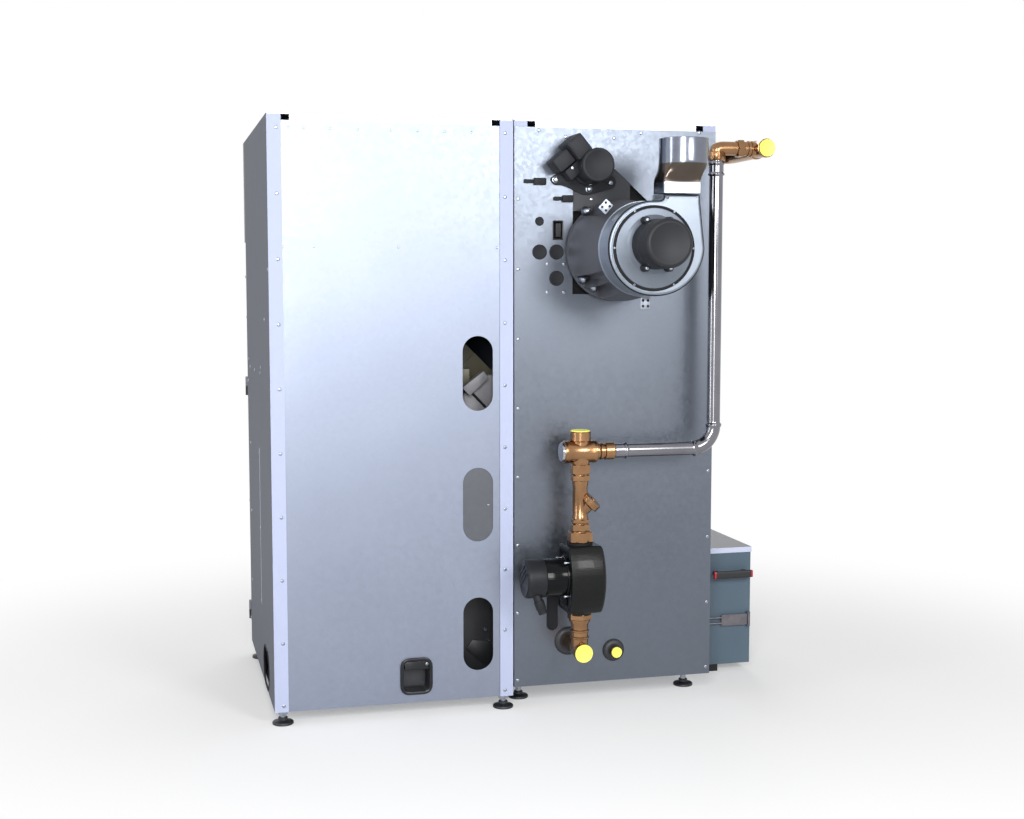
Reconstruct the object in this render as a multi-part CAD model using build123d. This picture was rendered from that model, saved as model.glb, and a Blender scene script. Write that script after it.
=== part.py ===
from build123d import *
import os

# A two-cabinet pellet boiler: a pellet feed unit beside a boiler with a flue fan,
# a return-lift pump group on its back and an ash box docked to its side.
# The front faces -Y, the back faces +Y, and Z points up from the floor.
# All sizes are in millimetres. While it is modelled, X is zero between the cabinets,
# Y is zero at the rear panels and Z is zero on the floor.

# Casings
sheet = 2
cabinet_gap = 3
feed_width = 623
boiler_width = 551
casing_depth = 772
casing_top = 1535
feed_bottom = 35
boiler_bottom = 57
flange_width = 35
flange_overlap = 12
top_flange_width = 18
panel_top_drop = 17
lip_inset = 56
base_sheet = 3
base_rim = 18
fit_gap = 0.3
hole_gap = 0.4

# Openings of the casings
slot_width = 80
slot_height = 193
slot_pitch = 341
slot_count = 3
slot_low_height = 206
slot_from_gap = 95
slot_cover_margin = 14
side_slot_length = 168
side_slot_height = 105
side_slot_from_rear = 236
side_slot_rise = 91

# Air inlet in the feed unit's rear panel
inlet_x = 260
inlet_z = 105
inlet_width = 85
inlet_height = 97
inlet_corner = 24
inlet_rim = 8
inlet_proud = 4
inlet_depth = 44
inlet_brow = 24
flap_sheet = 2
flap_gap = 0.6
flap_hinge_r = 2
flap_hinge_bore_r = 2.05
flap_pin_length = 3

# Front fascia, display and doors
fascia_depth = 40
fascia_height = 294
fascia_wall = 3
display_width = 170
display_height = 110
display_corner = 8
display_proud = 3
door_stand = 2
door_thick = 20
door_skin = 2
door_low = 60
door_gap = 3
door_edge = 7.5
door_top_gap = 5
door_pan_rim = 18
grip_width = 26
grip_height = 260
grip_depth = 16
grip_from_edge = 30
grip_z = 760
hinge_inset = 1
hinge_reach = 28
hinge_barrel_r = 6
hinge_pin_r = 3
hinge_bore_r = 3.05
hinge_half = 28
hinge_low_z = 125
hinge_high_z = 811
hinge_strap_length = 34
hinge_strap_thick = 3
hinge_bracket_width = 6

# Levelling feet
foot_disc_r = 27
foot_disc_height = 8
foot_neck_r = 12
foot_neck_height = 10
foot_bolt_r = 8
foot_bolt_above = 24
foot_nut_flats = 24
foot_nut_height = 10
foot_bolt_gap = 0.4
feed_foot_inset = 22
feed_foot_front_inset = 78
boiler_foot_inset = 37
boiler_foot_rear_inset = 100

# Panel screws
screw_head_r = 4.5
screw_head_height = 1.6
feed_screw_count = 10
feed_screw_low = 51
feed_screw_top_drop = 18
feed_screw_inset = 22
boiler_screw_low = 75
boiler_screw_top_drop = 183
boiler_screw_inset = 10
boiler_screw_count = 8

# Pellet hopper
hopper_gap_x = 150
hopper_side_gap = 22
hopper_front_gap = 30
hopper_rear_gap = 60
hopper_top_drop = 45
hopper_waist = 960
hopper_wall = 2
neck_x = 490
neck_from_front = 352
neck_width = 100
neck_depth = 80
neck_z = 620

# Feed auger, its trough and tube
auger_y = -190
auger_low_z = 460
auger_high_x = 85
tube_r = 42
tube_wall = 3
trough_bottom = 400
trough_wall = 3
auger_flight_r = 34
auger_shaft_r = 10
auger_bore_r = 10.05
auger_flight_pitch = 60
auger_flight_thick = 5
flight_tilt = 16
auger_end_gap = 4
gearbox_width = 76
gearbox_height = 60
motor_r = 33
motor_length = 72
motor_lift = 76

# Rotary valve and pellet chute
valve_x = 115
valve_z = 712
valve_r = 52
valve_wall = 4
valve_length = 110
valve_cap = 4
drop_r = 34
rotor_gap = 1
rotor_hub_r = 12
rotor_blades = 6
rotor_blade_thick = 4
rotor_shaft_r = 6
rotor_bore_r = 6.05
chute_r = 36
chute_wall = 2
chute_end_x = -180
chute_end_from_pot = 65
chute_end_z = 430
chute_hole_gap = 3

# Suction turbine
turbine_x = 15
turbine_width = 175
turbine_rear = 110
turbine_depth = 190
turbine_height = 270
turbine_corner = 12

# Boiler body
body_out_gap = 53
body_in_gap = 108
body_front_gap = 122
body_rear_gap = 62
body_bottom = 105
body_top_drop = 40
body_wall = 5
chamber_side = 45
chamber_rear_y = -250
chamber_front = 50
chamber_low = 230
chamber_top_drop = 635
fire_opening_margin = 30
fire_opening_low = 300
fire_opening_top_drop = 160
flue_block_rear_y = -100
flue_low = 400
flue_top_drop = 375
smokebox_top_drop = 55
flue_r = 27
flue_columns = 4
flue_pitch = 70
flue_row_near = 140
flue_row_far = 205
skid_width = 40
cover_margin = 28
cover_thick = 12
cover_knob_r = 18
cover_knob_length = 22

# Insulation
insulation_side = 34
insulation_front = 36
insulation_rear = 30
insulation_top = 30
insulation_bottom = 0
insulation_hole_gap = 4

# Burner pot, grate and ash auger
pot_width = 150
pot_depth = 140
pot_from_fire_front = 190
pot_low = 302
pot_high = 380
pot_wall = 4
pot_ledge = 4
grate_thick = 5
grate_gap = 0.5
grate_gap_count = 6
grate_end = 14
ash_auger_from_pot = 15
ash_auger_z = 262
ash_auger_r = 26
ash_shaft_r = 8
ash_shaft_bore_r = 8.05
ash_bore_r = 31
ash_tube_wall = 3
ash_pitch = 55
ash_flight_thick = 5
ash_motor_size = 90
ash_motor_stand = 4
ash_motor_depth = 58

# Turbulators and their crank
turbulator_width = 36
turbulator_thick = 3
turbulator_low = 470
turbulator_twist_rise = 90
lift_plate_rise = 30
lift_plate_thick = 6
lift_plate_overhang = 34
lift_post = 12
lift_bar_width = 62
lift_bar_reach = 82
lift_bar_depth = 26
lift_bar_thick = 8
crank_x = -198
crank_rise = 177
crank_shaft_r = 8
crank_bore_r = 8.05
crank_arm = 50
crank_roller_r = 8
crank_arm_thick = 10
crank_y = -150
crank_shaft_front = 20

# Cut-out for the flue fan in the boiler's rear panel, in heights from the fan's axis
cutout_left = 158
cutout_bottom_drop = 112
cutout_top_rise = 222
cutout_top_right = 262
cutout_right = 380
cutout_shoulder_rise = 116

# Cleaning actuator, in heights from the fan's axis
plate_thick = 3
plate_margin = 26
plate_right = 315
plate_low_rise = 103
plate_high_rise = 247
actuator_flange = 4
actuator_cap_r = 43
actuator_cap_rise = 215
actuator_cap_near = 25
actuator_cap_far = 95
actuator_box_x = -152
actuator_box_rise = 261
actuator_box_width = 46
actuator_box_length = 54
actuator_box_far = 82
actuator_side_x = -120
actuator_side_rise = 225
actuator_side_width = 46
actuator_side_length = 40
actuator_side_far = 64
actuator_turn = 40
lug_r = 14
lug_bolt_r = 7
lug_bolt_height = 6
lug_rises = ((-110, 182), (-259, 176), (-200, 160))

# Flue fan
fan_x = -268
fan_drop = 332
motor_rise = 9
fan_mount_flange_r = 120
fan_mount_flange = 5
fan_neck_r = 100
fan_rim_r = 130
fan_rim_y = 8
fan_rim_thick = 14
fan_dome_r = 121
fan_dome_y = 90
fan_waist_r = 100
fan_waist_y = 212
fan_inner_r = 86
fan_throat_r = 60
volute_near = 235
volute_depth = 75
volute_r = 117
volute_r_right = 135
volute_wall = 3
diagonal_share = 0.707
duct_left = 292
duct_right = 388
duct_top_rise = 132
tongue_x = 286
tongue_rise = 115
fan_cover_r = 103
fan_cover_thick = 4
fan_cover_hole_r = 98
cone_height = 8
cone_base_r = 70
fan_motor_r = 59
fan_motor_length = 98
fan_motor_chamfer = 5
fan_shaft_r = 6
fan_shaft_bore_r = 6.05
impeller_r = 86
impeller_width = 50
impeller_plate = 3
impeller_hub_r = 16
impeller_blades = 18
impeller_blade_length = 26
impeller_blade_thick = 2
nut_r = 13
nut_height = 24
nut_scallop_gap = 3
nut_offsets = ((82, 101), (90, -73), (62, -94), (-84, 87), (-84, -87))

# Flue adapter
spigot_x = -355
spigot_y = 275
spigot_r = 60
spigot_wall = 2
adapter_duct_wall = 3
adapter_square_rise = 160
adapter_round_rise = 209
spigot_top_rise = 266

# Cable fittings on the boiler's rear panel, in heights from the fan's axis
plug_proud = 2.5
plug_list = ((-68, 75, 11.5), (-69, -3, 19.5), (-114, -3, 19.5), (-114, -71, 19.5))
slot_plug_x = -105.3
slot_plug_z = 267
slot_plug_width = 30.6
slot_plug_height = 126
gland_plate = 1
gland_plate_left = 90
gland_plate_low_drop = 111
gland_plate_high_drop = 29
clamp_list = ((-56, 177, 58), (-132, 134, 52))
clamp_height = 18
clamp_depth = 9
switch_x = -118
switch_rise = 53
switch_width = 22
switch_height = 44
switch_bezel = 3
switch_proud = 3
rocker_gap = 0.6
rocker_depth = 9
rocker_pin_r = 1.5
rocker_pin_bore_r = 1.55

# Pump group
group_x = -150
group_y = 100
pump_z = 367
pump_length = 180
pump_width = 92
pump_depth = 130
pump_height = 166
pump_shift = 6
pump_corner = 14
pump_neck_r = 27
pump_motor_r = 49
pump_barrel = 50
pump_head = 68
pump_head_r = 50
pump_gland_r = 11
pump_gland_length = 26
pump_cavity_r = 52
pump_plate = 4
pump_plate_r = 54
pump_cavity_width = 36
pump_rotor_r = 46
pump_rotor_width = 26
pump_shaft_r = 6
pump_shaft_bore_r = 6.05
pump_shaft_length = 60
union_flats = 62
union_height = 28
union_low_flats = 60
union_low_height = 21
nipple_flats = 44
nipple_heights = (21, 13)
strainer_r = 20
strainer_low = 518
strainer_high = 614
branch_z = 536
branch_r = 17
branch_length = 34
branch_cap_r = 25
branch_cap_thick = 17
upper_nut_flats = (46, 50)
upper_nut_heights = (18, 27)
mixing_z = 690
mixing_r = 29
mixing_left = 98
mixing_right = 191
mixing_port_r = 26
mixing_port_top = 742
mixing_neck_r = 25
port_collar_gap = 1
mixing_bore_r = 15
nipple_end = 241
nipple_r = 22
mixing_cap_r = 24
mixing_cap_thick = 7
strainer_bore_r = 13

# Bypass pipe
pipe_r = 17.5
pipe_wall = 1.5
bend_r = 60
riser_x = -514
riser_top_drop = 32

# Flow tee
flow_hex_flats = 40
flow_hex_height = 24
flow_drop = 69
flow_r = 17.5
flow_nut_flats = 42
flow_nut_near = 566
flow_nut_far = 588
tee_x = -637
tee_r = 22
tee_end_y = 139
tee_collar_r = 24
tee_collar_length = 14
outlet_y = -100
outlet_bore_r = 14

# Return tee and drain stub
return_z = 173
return_r = 19
return_branch_r = 22
return_bead_r = 24
return_bead = 4
return_bead_rises = (34, 52)
return_collar_r = 24
return_bore_r = 13
drain_x = -276
drain_z = 140
drain_r = 11
drain_bore_r = 6
drain_end_y = 28
rosette_r = 38
drain_rosette_r = 30
rosette_thick = 10
cap_thick = 4
low_cap_r = 23.5
drain_cap_r = 14.5
top_cap_r = 25

# Ash box
ash_width = 207
ash_rear = 200
ash_front_inset = 72
ash_bottom = 22
ash_body_top = 359.5
ash_lid_top = 362
ash_wall = 2
ash_lid_rim = 15
ash_lid_gap = 0.5
ash_lid_wall = 2
ash_hole_r = 33
runner_width = 106
runner_depth = 22
runner_side = 6
runner_inset = 8
bar_length = 118
bar_from_outside = 66
bar_height = 21
bar_thick = 12
bar_stand = 24
bar_post = 16
bar_z = 289.5
latch_near = 757
latch_far = 668
latch_low = 136
latch_high = 168
latch_plate = 3
latch_stand = 4
latch_pin_r = 3
latch_bore_r = 3.05
latch_barrel_r = 5
latch_ear = 5
rod_r = 2.5
rod_reach = 100
rod_spread = 16

# Places that follow from the sizes above
fan_z = casing_top - fan_drop
motor_z = fan_z + motor_rise
crank_z = fan_z + crank_rise
duct_top = fan_z + duct_top_rise
adapter_square_top = fan_z + adapter_square_rise
adapter_round_low = fan_z + adapter_round_rise
spigot_top = fan_z + spigot_top_rise
switch_z = fan_z + switch_rise
gland_plate_low = fan_z - gland_plate_low_drop
gland_plate_high = fan_z - gland_plate_high_drop
nut_points = [(fan_x + along, fan_z + up) for along, up in nut_offsets]
flow_z = casing_top - flow_drop
riser_top = flow_z - riser_top_drop
fascia_low = casing_top - fascia_height
hopper_top = casing_top - hopper_top_drop
body_top = casing_top - body_top_drop
smokebox_top = body_top - smokebox_top_drop
flue_high = body_top - flue_top_drop
chamber_high = body_top - chamber_top_drop
fire_opening_high = chamber_high - fire_opening_top_drop
lift_plate_z = flue_high + lift_plate_rise
flue_rows_y = (-flue_row_far, -flue_row_near)
ash_front = casing_depth - ash_front_inset
feed_in = cabinet_gap / 2
feed_out = feed_in + feed_width
boiler_in = -cabinet_gap / 2
boiler_out = boiler_in - boiler_width
front = -casing_depth
panel_top = casing_top - panel_top_drop
body_left = boiler_out + body_out_gap
body_right = boiler_in - body_in_gap
body_front = front + body_front_gap
body_rear = -body_rear_gap
chamber_left = body_left + chamber_side
chamber_right = body_right - chamber_side
fire_front = body_front + chamber_front
pot_y = fire_front + pot_from_fire_front
ash_auger_y = pot_y - ash_auger_from_pot
chute_end_y = pot_y + chute_end_from_pot
neck_y = front + neck_from_front
auger_low_x = neck_x
auger_high_z = auger_low_z + (auger_low_x - auger_high_x)
valve_y = auger_y
volute_far = volute_near + volute_depth
ash_in = boiler_out - fit_gap
ash_out = ash_in - ash_width
pump_near_face = group_x - pump_shift + pump_width / 2
door_rear = front - door_stand
door_front = door_rear - door_thick
door_top = fascia_low - door_top_gap
hinge_y = front - hinge_reach
slot_heights = [slot_low_height + slot_pitch * index for index in range(slot_count)]
feed_screw_step = (panel_top - feed_screw_top_drop - feed_screw_low) / (feed_screw_count - 1)
boiler_screw_step = (panel_top - boiler_screw_top_drop - boiler_screw_low) / (boiler_screw_count - 1)


def block(x0, x1, y0, y1, z0, z1):
    """A box between two corners, given in any order."""
    size = Box(abs(x1 - x0), abs(y1 - y0), abs(z1 - z0))
    return Pos((x0 + x1) / 2, (y0 + y1) / 2, (z0 + z1) / 2) * size


def rod_x(x0, x1, y, z, radius):
    """A cylinder along X."""
    return Pos((x0 + x1) / 2, y, z) * Rot(0, 90, 0) * Cylinder(radius, abs(x1 - x0))


def rod_y(y0, y1, x, z, radius):
    """A cylinder along Y."""
    return Pos(x, (y0 + y1) / 2, z) * Rot(90, 0, 0) * Cylinder(radius, abs(y1 - y0))


def rod_z(z0, z1, x, y, radius):
    """A cylinder along Z."""
    return Pos(x, y, (z0 + z1) / 2) * Cylinder(radius, abs(z1 - z0))


def link(start, end, radius):
    """A cylinder between two points."""
    start = Vector(*start)
    end = Vector(*end)
    along = end - start
    return Plane(origin=(start + end) / 2, z_dir=along) * Cylinder(radius, along.length)


def hexagon(plane, flats, length):
    """A hexagonal bar from a plane along its normal, with a given width across flats."""
    return extrude(plane * RegularPolygon(flats / 2, 6, major_radius=False), amount=length)


def face_at(y):
    """A plane at a given Y that looks along +Y, with X along its own X."""
    return Plane(origin=(0, y, 0), x_dir=(1, 0, 0), z_dir=(0, 1, 0))


def back_plate(x, z, width, height, corner, y0, y1):
    """A plate with rounded corners that stands upright and runs from y0 to y1."""
    upright = Plane(origin=(x, y0, z), x_dir=(1, 0, 0), z_dir=(0, 1, 0))
    return extrude(upright * RectangleRounded(width, height, corner), amount=y1 - y0)


def slot_y(x, z, width, height, y0, y1):
    """An upright oblong with round ends that runs from y0 to y1."""
    radius = width / 2
    straight = height / 2 - radius
    body = block(x - radius, x + radius, y0, y1, z - straight, z + straight)
    return body + rod_y(y0, y1, x, z - straight, radius) + rod_y(y0, y1, x, z + straight, radius)


def slot_x(y, z, length, height, x0, x1):
    """A level oblong with round ends that runs from x0 to x1."""
    radius = height / 2
    straight = length / 2 - radius
    body = block(x0, x1, y - straight, y + straight, z - radius, z + radius)
    return body + rod_x(x0, x1, y - straight, z, radius) + rod_x(x0, x1, y + straight, z, radius)


def outline_y(points, y0, y1):
    """A polygon of (x, z) points that runs from y0 to y1."""
    corners = [(x, -z) for x, z in points]
    return extrude(face_at(y0) * make_face(Polyline(*corners, close=True)), amount=y1 - y0)


def flat_screw(radius, thickness, length, pitch, flight_r):
    """Screw flights as thin discs along Z, tilted to the pitch, joined to a shaft."""
    shaft = Pos(0, 0, length / 2) * Cylinder(radius, length)
    count = int((length - pitch) / pitch)
    flights = []
    for index in range(count):
        height = pitch * (index + 1)
        flights.append(Pos(0, 0, height) * Rot(flight_tilt, 0, 0) * Cylinder(flight_r, thickness))
    return shaft + flights


def side_sheet(skin, inward, rear, low):
    """A folded side sheet: its web, its front, rear and top flanges."""
    web = block(skin, skin + inward * sheet, front, rear, low, casing_top)
    edge = skin + inward * flange_width
    rear_flange = block(skin, edge, rear - sheet, rear, low, casing_top - sheet)
    front_flange = block(skin, edge, front, front + sheet, low, casing_top)
    top_edge = skin + inward * top_flange_width
    top_flange = block(skin, top_edge, front, rear, casing_top - 2 * sheet, casing_top - sheet)
    return web + rear_flange + front_flange + top_flange


def chute_path(radius):
    """The pellet chute's line through both cabinets, as a cylinder."""
    start = (valve_x, valve_y, valve_z)
    return link(start, (chute_end_x, chute_end_y, chute_end_z), radius)


def foot_places():
    """The eight levelling feet as (x, y, height of the base above the floor)."""
    feed_rear = -feed_foot_inset
    feed_front = front + feed_foot_front_inset
    boiler_rear = -boiler_foot_rear_inset
    boiler_front = front + boiler_foot_rear_inset
    places = []
    for y in (feed_rear, feed_front):
        places.append((feed_in + feed_foot_inset, y, feed_bottom))
        places.append((feed_out - feed_foot_inset, y, feed_bottom))
    for y in (boiler_rear, boiler_front):
        places.append((boiler_in - boiler_foot_inset, y, boiler_bottom))
        places.append((boiler_out + boiler_foot_inset, y, boiler_bottom))
    return places


def base_tray(x0, x1, bottom):
    """A cabinet's base tray with upturned rims and holes for the foot bolts."""
    y0 = front + sheet
    y1 = -2 * sheet
    tray = block(x0, x1, y0, y1, bottom, bottom + base_sheet + base_rim)
    tray -= block(x0 + sheet, x1 - sheet, y0 + sheet, y1 - sheet,
                  bottom + base_sheet, bottom + base_sheet + base_rim)
    for x, y, height in foot_places():
        if height == bottom:
            tray -= rod_z(bottom, bottom + base_sheet, x, y, foot_bolt_r + foot_bolt_gap)
    return tray


def top_cover(x0, x1, rear, lip_rear):
    """A cabinet's top cover with a folded lip over the rear panel."""
    plate = block(x0 + sheet, x1 - sheet, front + sheet, rear, casing_top - sheet, casing_top)
    lip = block(x0 + lip_inset, x1 - lip_inset, lip_rear - sheet, lip_rear, panel_top + fit_gap, casing_top)
    return plate + lip


def make_casings():
    """The folded sheets that close both cabinets."""
    parts = {}
    side_slot = slot_x(-side_slot_from_rear, side_slot_rise, side_slot_length, side_slot_height,
                       feed_out - sheet, feed_out)
    chute_hole = chute_path(chute_r + chute_hole_gap)
    parts["feed_outer_side"] = side_sheet(feed_out, -1, 0, feed_bottom) - side_slot
    parts["feed_inner_side"] = side_sheet(feed_in, 1, 0, feed_bottom) - chute_hole
    parts["boiler_inner_side"] = side_sheet(boiler_in, -1, -sheet, boiler_bottom) - chute_hole
    outer = side_sheet(boiler_out, 1, -sheet, boiler_bottom)
    outer -= rod_x(boiler_out, boiler_out + sheet, ash_auger_y, ash_auger_z, ash_hole_r)
    outer -= rod_x(boiler_out, boiler_out + sheet, outlet_y, flow_z, tee_r + hole_gap)
    parts["boiler_outer_side"] = outer
    parts["feed_base"] = base_tray(feed_in + sheet, feed_out - sheet, feed_bottom)
    parts["boiler_base"] = base_tray(boiler_out + sheet, boiler_in - sheet, boiler_bottom)
    parts["feed_top_cover"] = top_cover(feed_in, feed_out, -sheet, -sheet)
    parts["boiler_top_cover"] = top_cover(boiler_out, boiler_in, 0, 0)
    return parts


def make_feed_rear():
    """The feed unit's rear panel, its slot cover, and the air inlet with its flap."""
    margin = flange_width - flange_overlap
    panel = block(feed_in + margin, feed_out - margin, -2 * sheet, -sheet, feed_bottom, panel_top)
    for height in slot_heights:
        panel -= slot_y(slot_from_gap, height, slot_width, slot_height, -2 * sheet, -sheet)
    hole_width = inlet_width - 2 * inlet_rim
    hole_height = inlet_height - 2 * inlet_rim
    hole_corner = inlet_corner - inlet_rim
    panel -= back_plate(inlet_x, inlet_z, hole_width, hole_height, hole_corner, -2 * sheet, -sheet)
    cover = back_plate(slot_from_gap, slot_heights[1], slot_width + 2 * slot_cover_margin,
                       slot_height + 2 * slot_cover_margin, slot_cover_margin, -3 * sheet, -2 * sheet)
    rim = back_plate(inlet_x, inlet_z, inlet_width, inlet_height, inlet_corner, -sheet, inlet_proud - sheet)
    shell_width = hole_width - 2 * hole_gap
    shell_height = hole_height - 2 * hole_gap
    shell = back_plate(inlet_x, inlet_z, shell_width, shell_height, hole_corner, -inlet_depth, -sheet)
    mouth_width = shell_width - 2 * inlet_proud
    mouth_high = inlet_z + shell_height / 2 - inlet_brow
    mouth_low = inlet_z - shell_height / 2 + inlet_proud
    mouth_left = inlet_x - mouth_width / 2
    mouth_right = inlet_x + mouth_width / 2
    frame = rim + shell
    frame -= block(mouth_left, mouth_right, -inlet_depth, inlet_proud, mouth_low, mouth_high)
    flap_low = mouth_low + flap_gap
    flap_high = mouth_high - flap_gap
    flap_y = -inlet_depth + flap_sheet + flap_hinge_r
    axis_z = flap_high - flap_hinge_r
    flap = block(mouth_left + flap_gap, mouth_right - flap_gap,
                 flap_y - flap_sheet / 2, flap_y + flap_sheet / 2, flap_low, axis_z)
    pin_left = mouth_left - flap_pin_length
    pin_right = mouth_right + flap_pin_length
    flap += rod_x(mouth_left + flap_gap, mouth_right - flap_gap, flap_y, axis_z, flap_hinge_r)
    flap += rod_x(pin_left + flap_gap, pin_right - flap_gap, flap_y, axis_z, flap_hinge_r)
    frame -= rod_x(pin_left, pin_right, flap_y, axis_z, flap_hinge_bore_r)
    return {"feed_rear_panel": panel, "slot_cover": cover, "inlet_frame": frame, "inlet_flap": flap}


def make_front():
    """The control fascia with its display, both doors and their hinge brackets."""
    fascia_front = front - fascia_depth
    fascia = block(boiler_out, feed_out, fascia_front, front, fascia_low, casing_top)
    fascia -= block(boiler_out + fascia_wall, feed_out - fascia_wall, fascia_front + fascia_wall, front,
                    fascia_low + fascia_wall, casing_top - fascia_wall)
    display_x = (feed_in + feed_out) / 2
    display_z = (fascia_low + casing_top) / 2
    display = back_plate(display_x, display_z, display_width, display_height, display_corner,
                         fascia_front - display_proud, fascia_front)
    brackets = []
    doors = {}
    for name, side, skin in (("feed_door", 1, feed_out), ("boiler_door", -1, boiler_out)):
        near = side * door_gap
        far = skin - side * door_edge
        axis_x = skin - side * hinge_inset
        door = block(near, far, door_front, door_rear, door_low, door_top)
        door = fillet(door.edges().filter_by(Axis.Z).group_by(Axis.Y)[0], radius=door_skin)
        inner_near = near + side * door_pan_rim
        inner_far = far - side * door_pan_rim
        door -= block(inner_near, inner_far, door_front + door_skin, door_rear,
                      door_low + door_pan_rim, door_top - door_pan_rim)
        grip_x = near + side * grip_from_edge
        grip = block(grip_x - grip_width / 2, grip_x + grip_width / 2, door_front - grip_depth, door_front,
                     grip_z - grip_height / 2, grip_z + grip_height / 2)
        grip = fillet(grip.edges().group_by(Axis.Y)[0], radius=grip_depth / 3)
        door += grip
        for z in (hinge_low_z, hinge_high_z):
            low = z - hinge_half
            high = z + hinge_half
            strap_y = door_front - hinge_strap_thick
            strap = block(far - side * hinge_strap_length, axis_x, strap_y, door_front, z + fit_gap, high)
            knuckle = rod_z(z + fit_gap, high, axis_x, hinge_y, hinge_barrel_r)
            door += strap + knuckle
            door -= rod_z(z, high, axis_x, hinge_y, hinge_bore_r)
            arm = block(skin, skin - side * hinge_bracket_width, hinge_y, front, low, z)
            barrel = rod_z(low, z, axis_x, hinge_y, hinge_barrel_r)
            pin = rod_z(low, high, axis_x, hinge_y, hinge_pin_r)
            brackets.append(arm + barrel + pin)
        doors[name] = door
    parts = {"front_fascia": fascia, "display": display, "hinge_brackets": brackets}
    parts.update(doors)
    return parts


def make_feet():
    """Levelling feet: disc, neck, bolt and two nuts for each, as one solid."""
    feet = []
    for x, y, base in foot_places():
        neck_top = foot_disc_height + foot_neck_height
        plate_top = base + base_sheet
        disc = rod_z(0, foot_disc_height, x, y, foot_disc_r)
        disc = fillet(disc.edges().group_by(Axis.Z)[-1], radius=foot_disc_height / 4)
        foot = disc + rod_z(foot_disc_height, neck_top, x, y, foot_neck_r)
        foot += rod_z(neck_top, plate_top + foot_bolt_above, x, y, foot_bolt_r)
        low_nut = Plane(origin=(x, y, base - foot_nut_height))
        high_nut = Plane(origin=(x, y, plate_top))
        foot += hexagon(low_nut, foot_nut_flats, foot_nut_height)
        foot += hexagon(high_nut, foot_nut_flats, foot_nut_height)
        feet.append(foot)
    return {"levelling_feet": feet}


def make_hopper():
    """The pellet hopper: an open bin over a funnel that ends in a square neck."""
    x0 = feed_in + hopper_gap_x
    x1 = feed_out - hopper_side_gap
    y0 = front + hopper_front_gap
    y1 = -hopper_rear_gap

    def funnel(inset):
        top = Plane(origin=((x0 + x1) / 2, (y0 + y1) / 2, hopper_waist))
        low = Plane(origin=(neck_x, neck_y, neck_z))
        wide = top * Rectangle(x1 - x0 - 2 * inset, y1 - y0 - 2 * inset)
        narrow = low * Rectangle(neck_width - 2 * inset, neck_depth - 2 * inset)
        bin_part = block(x0 + inset, x1 - inset, y0 + inset, y1 - inset, hopper_waist, hopper_top)
        return bin_part + loft([narrow, wide], ruled=True)

    return {"pellet_hopper": funnel(0) - funnel(hopper_wall)}


def auger_direction():
    """The feed auger's direction, from its trough up to its gearbox."""
    low = Vector(auger_low_x, auger_y, auger_low_z)
    return (Vector(auger_high_x, auger_y, auger_high_z) - low).normalized()


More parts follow.
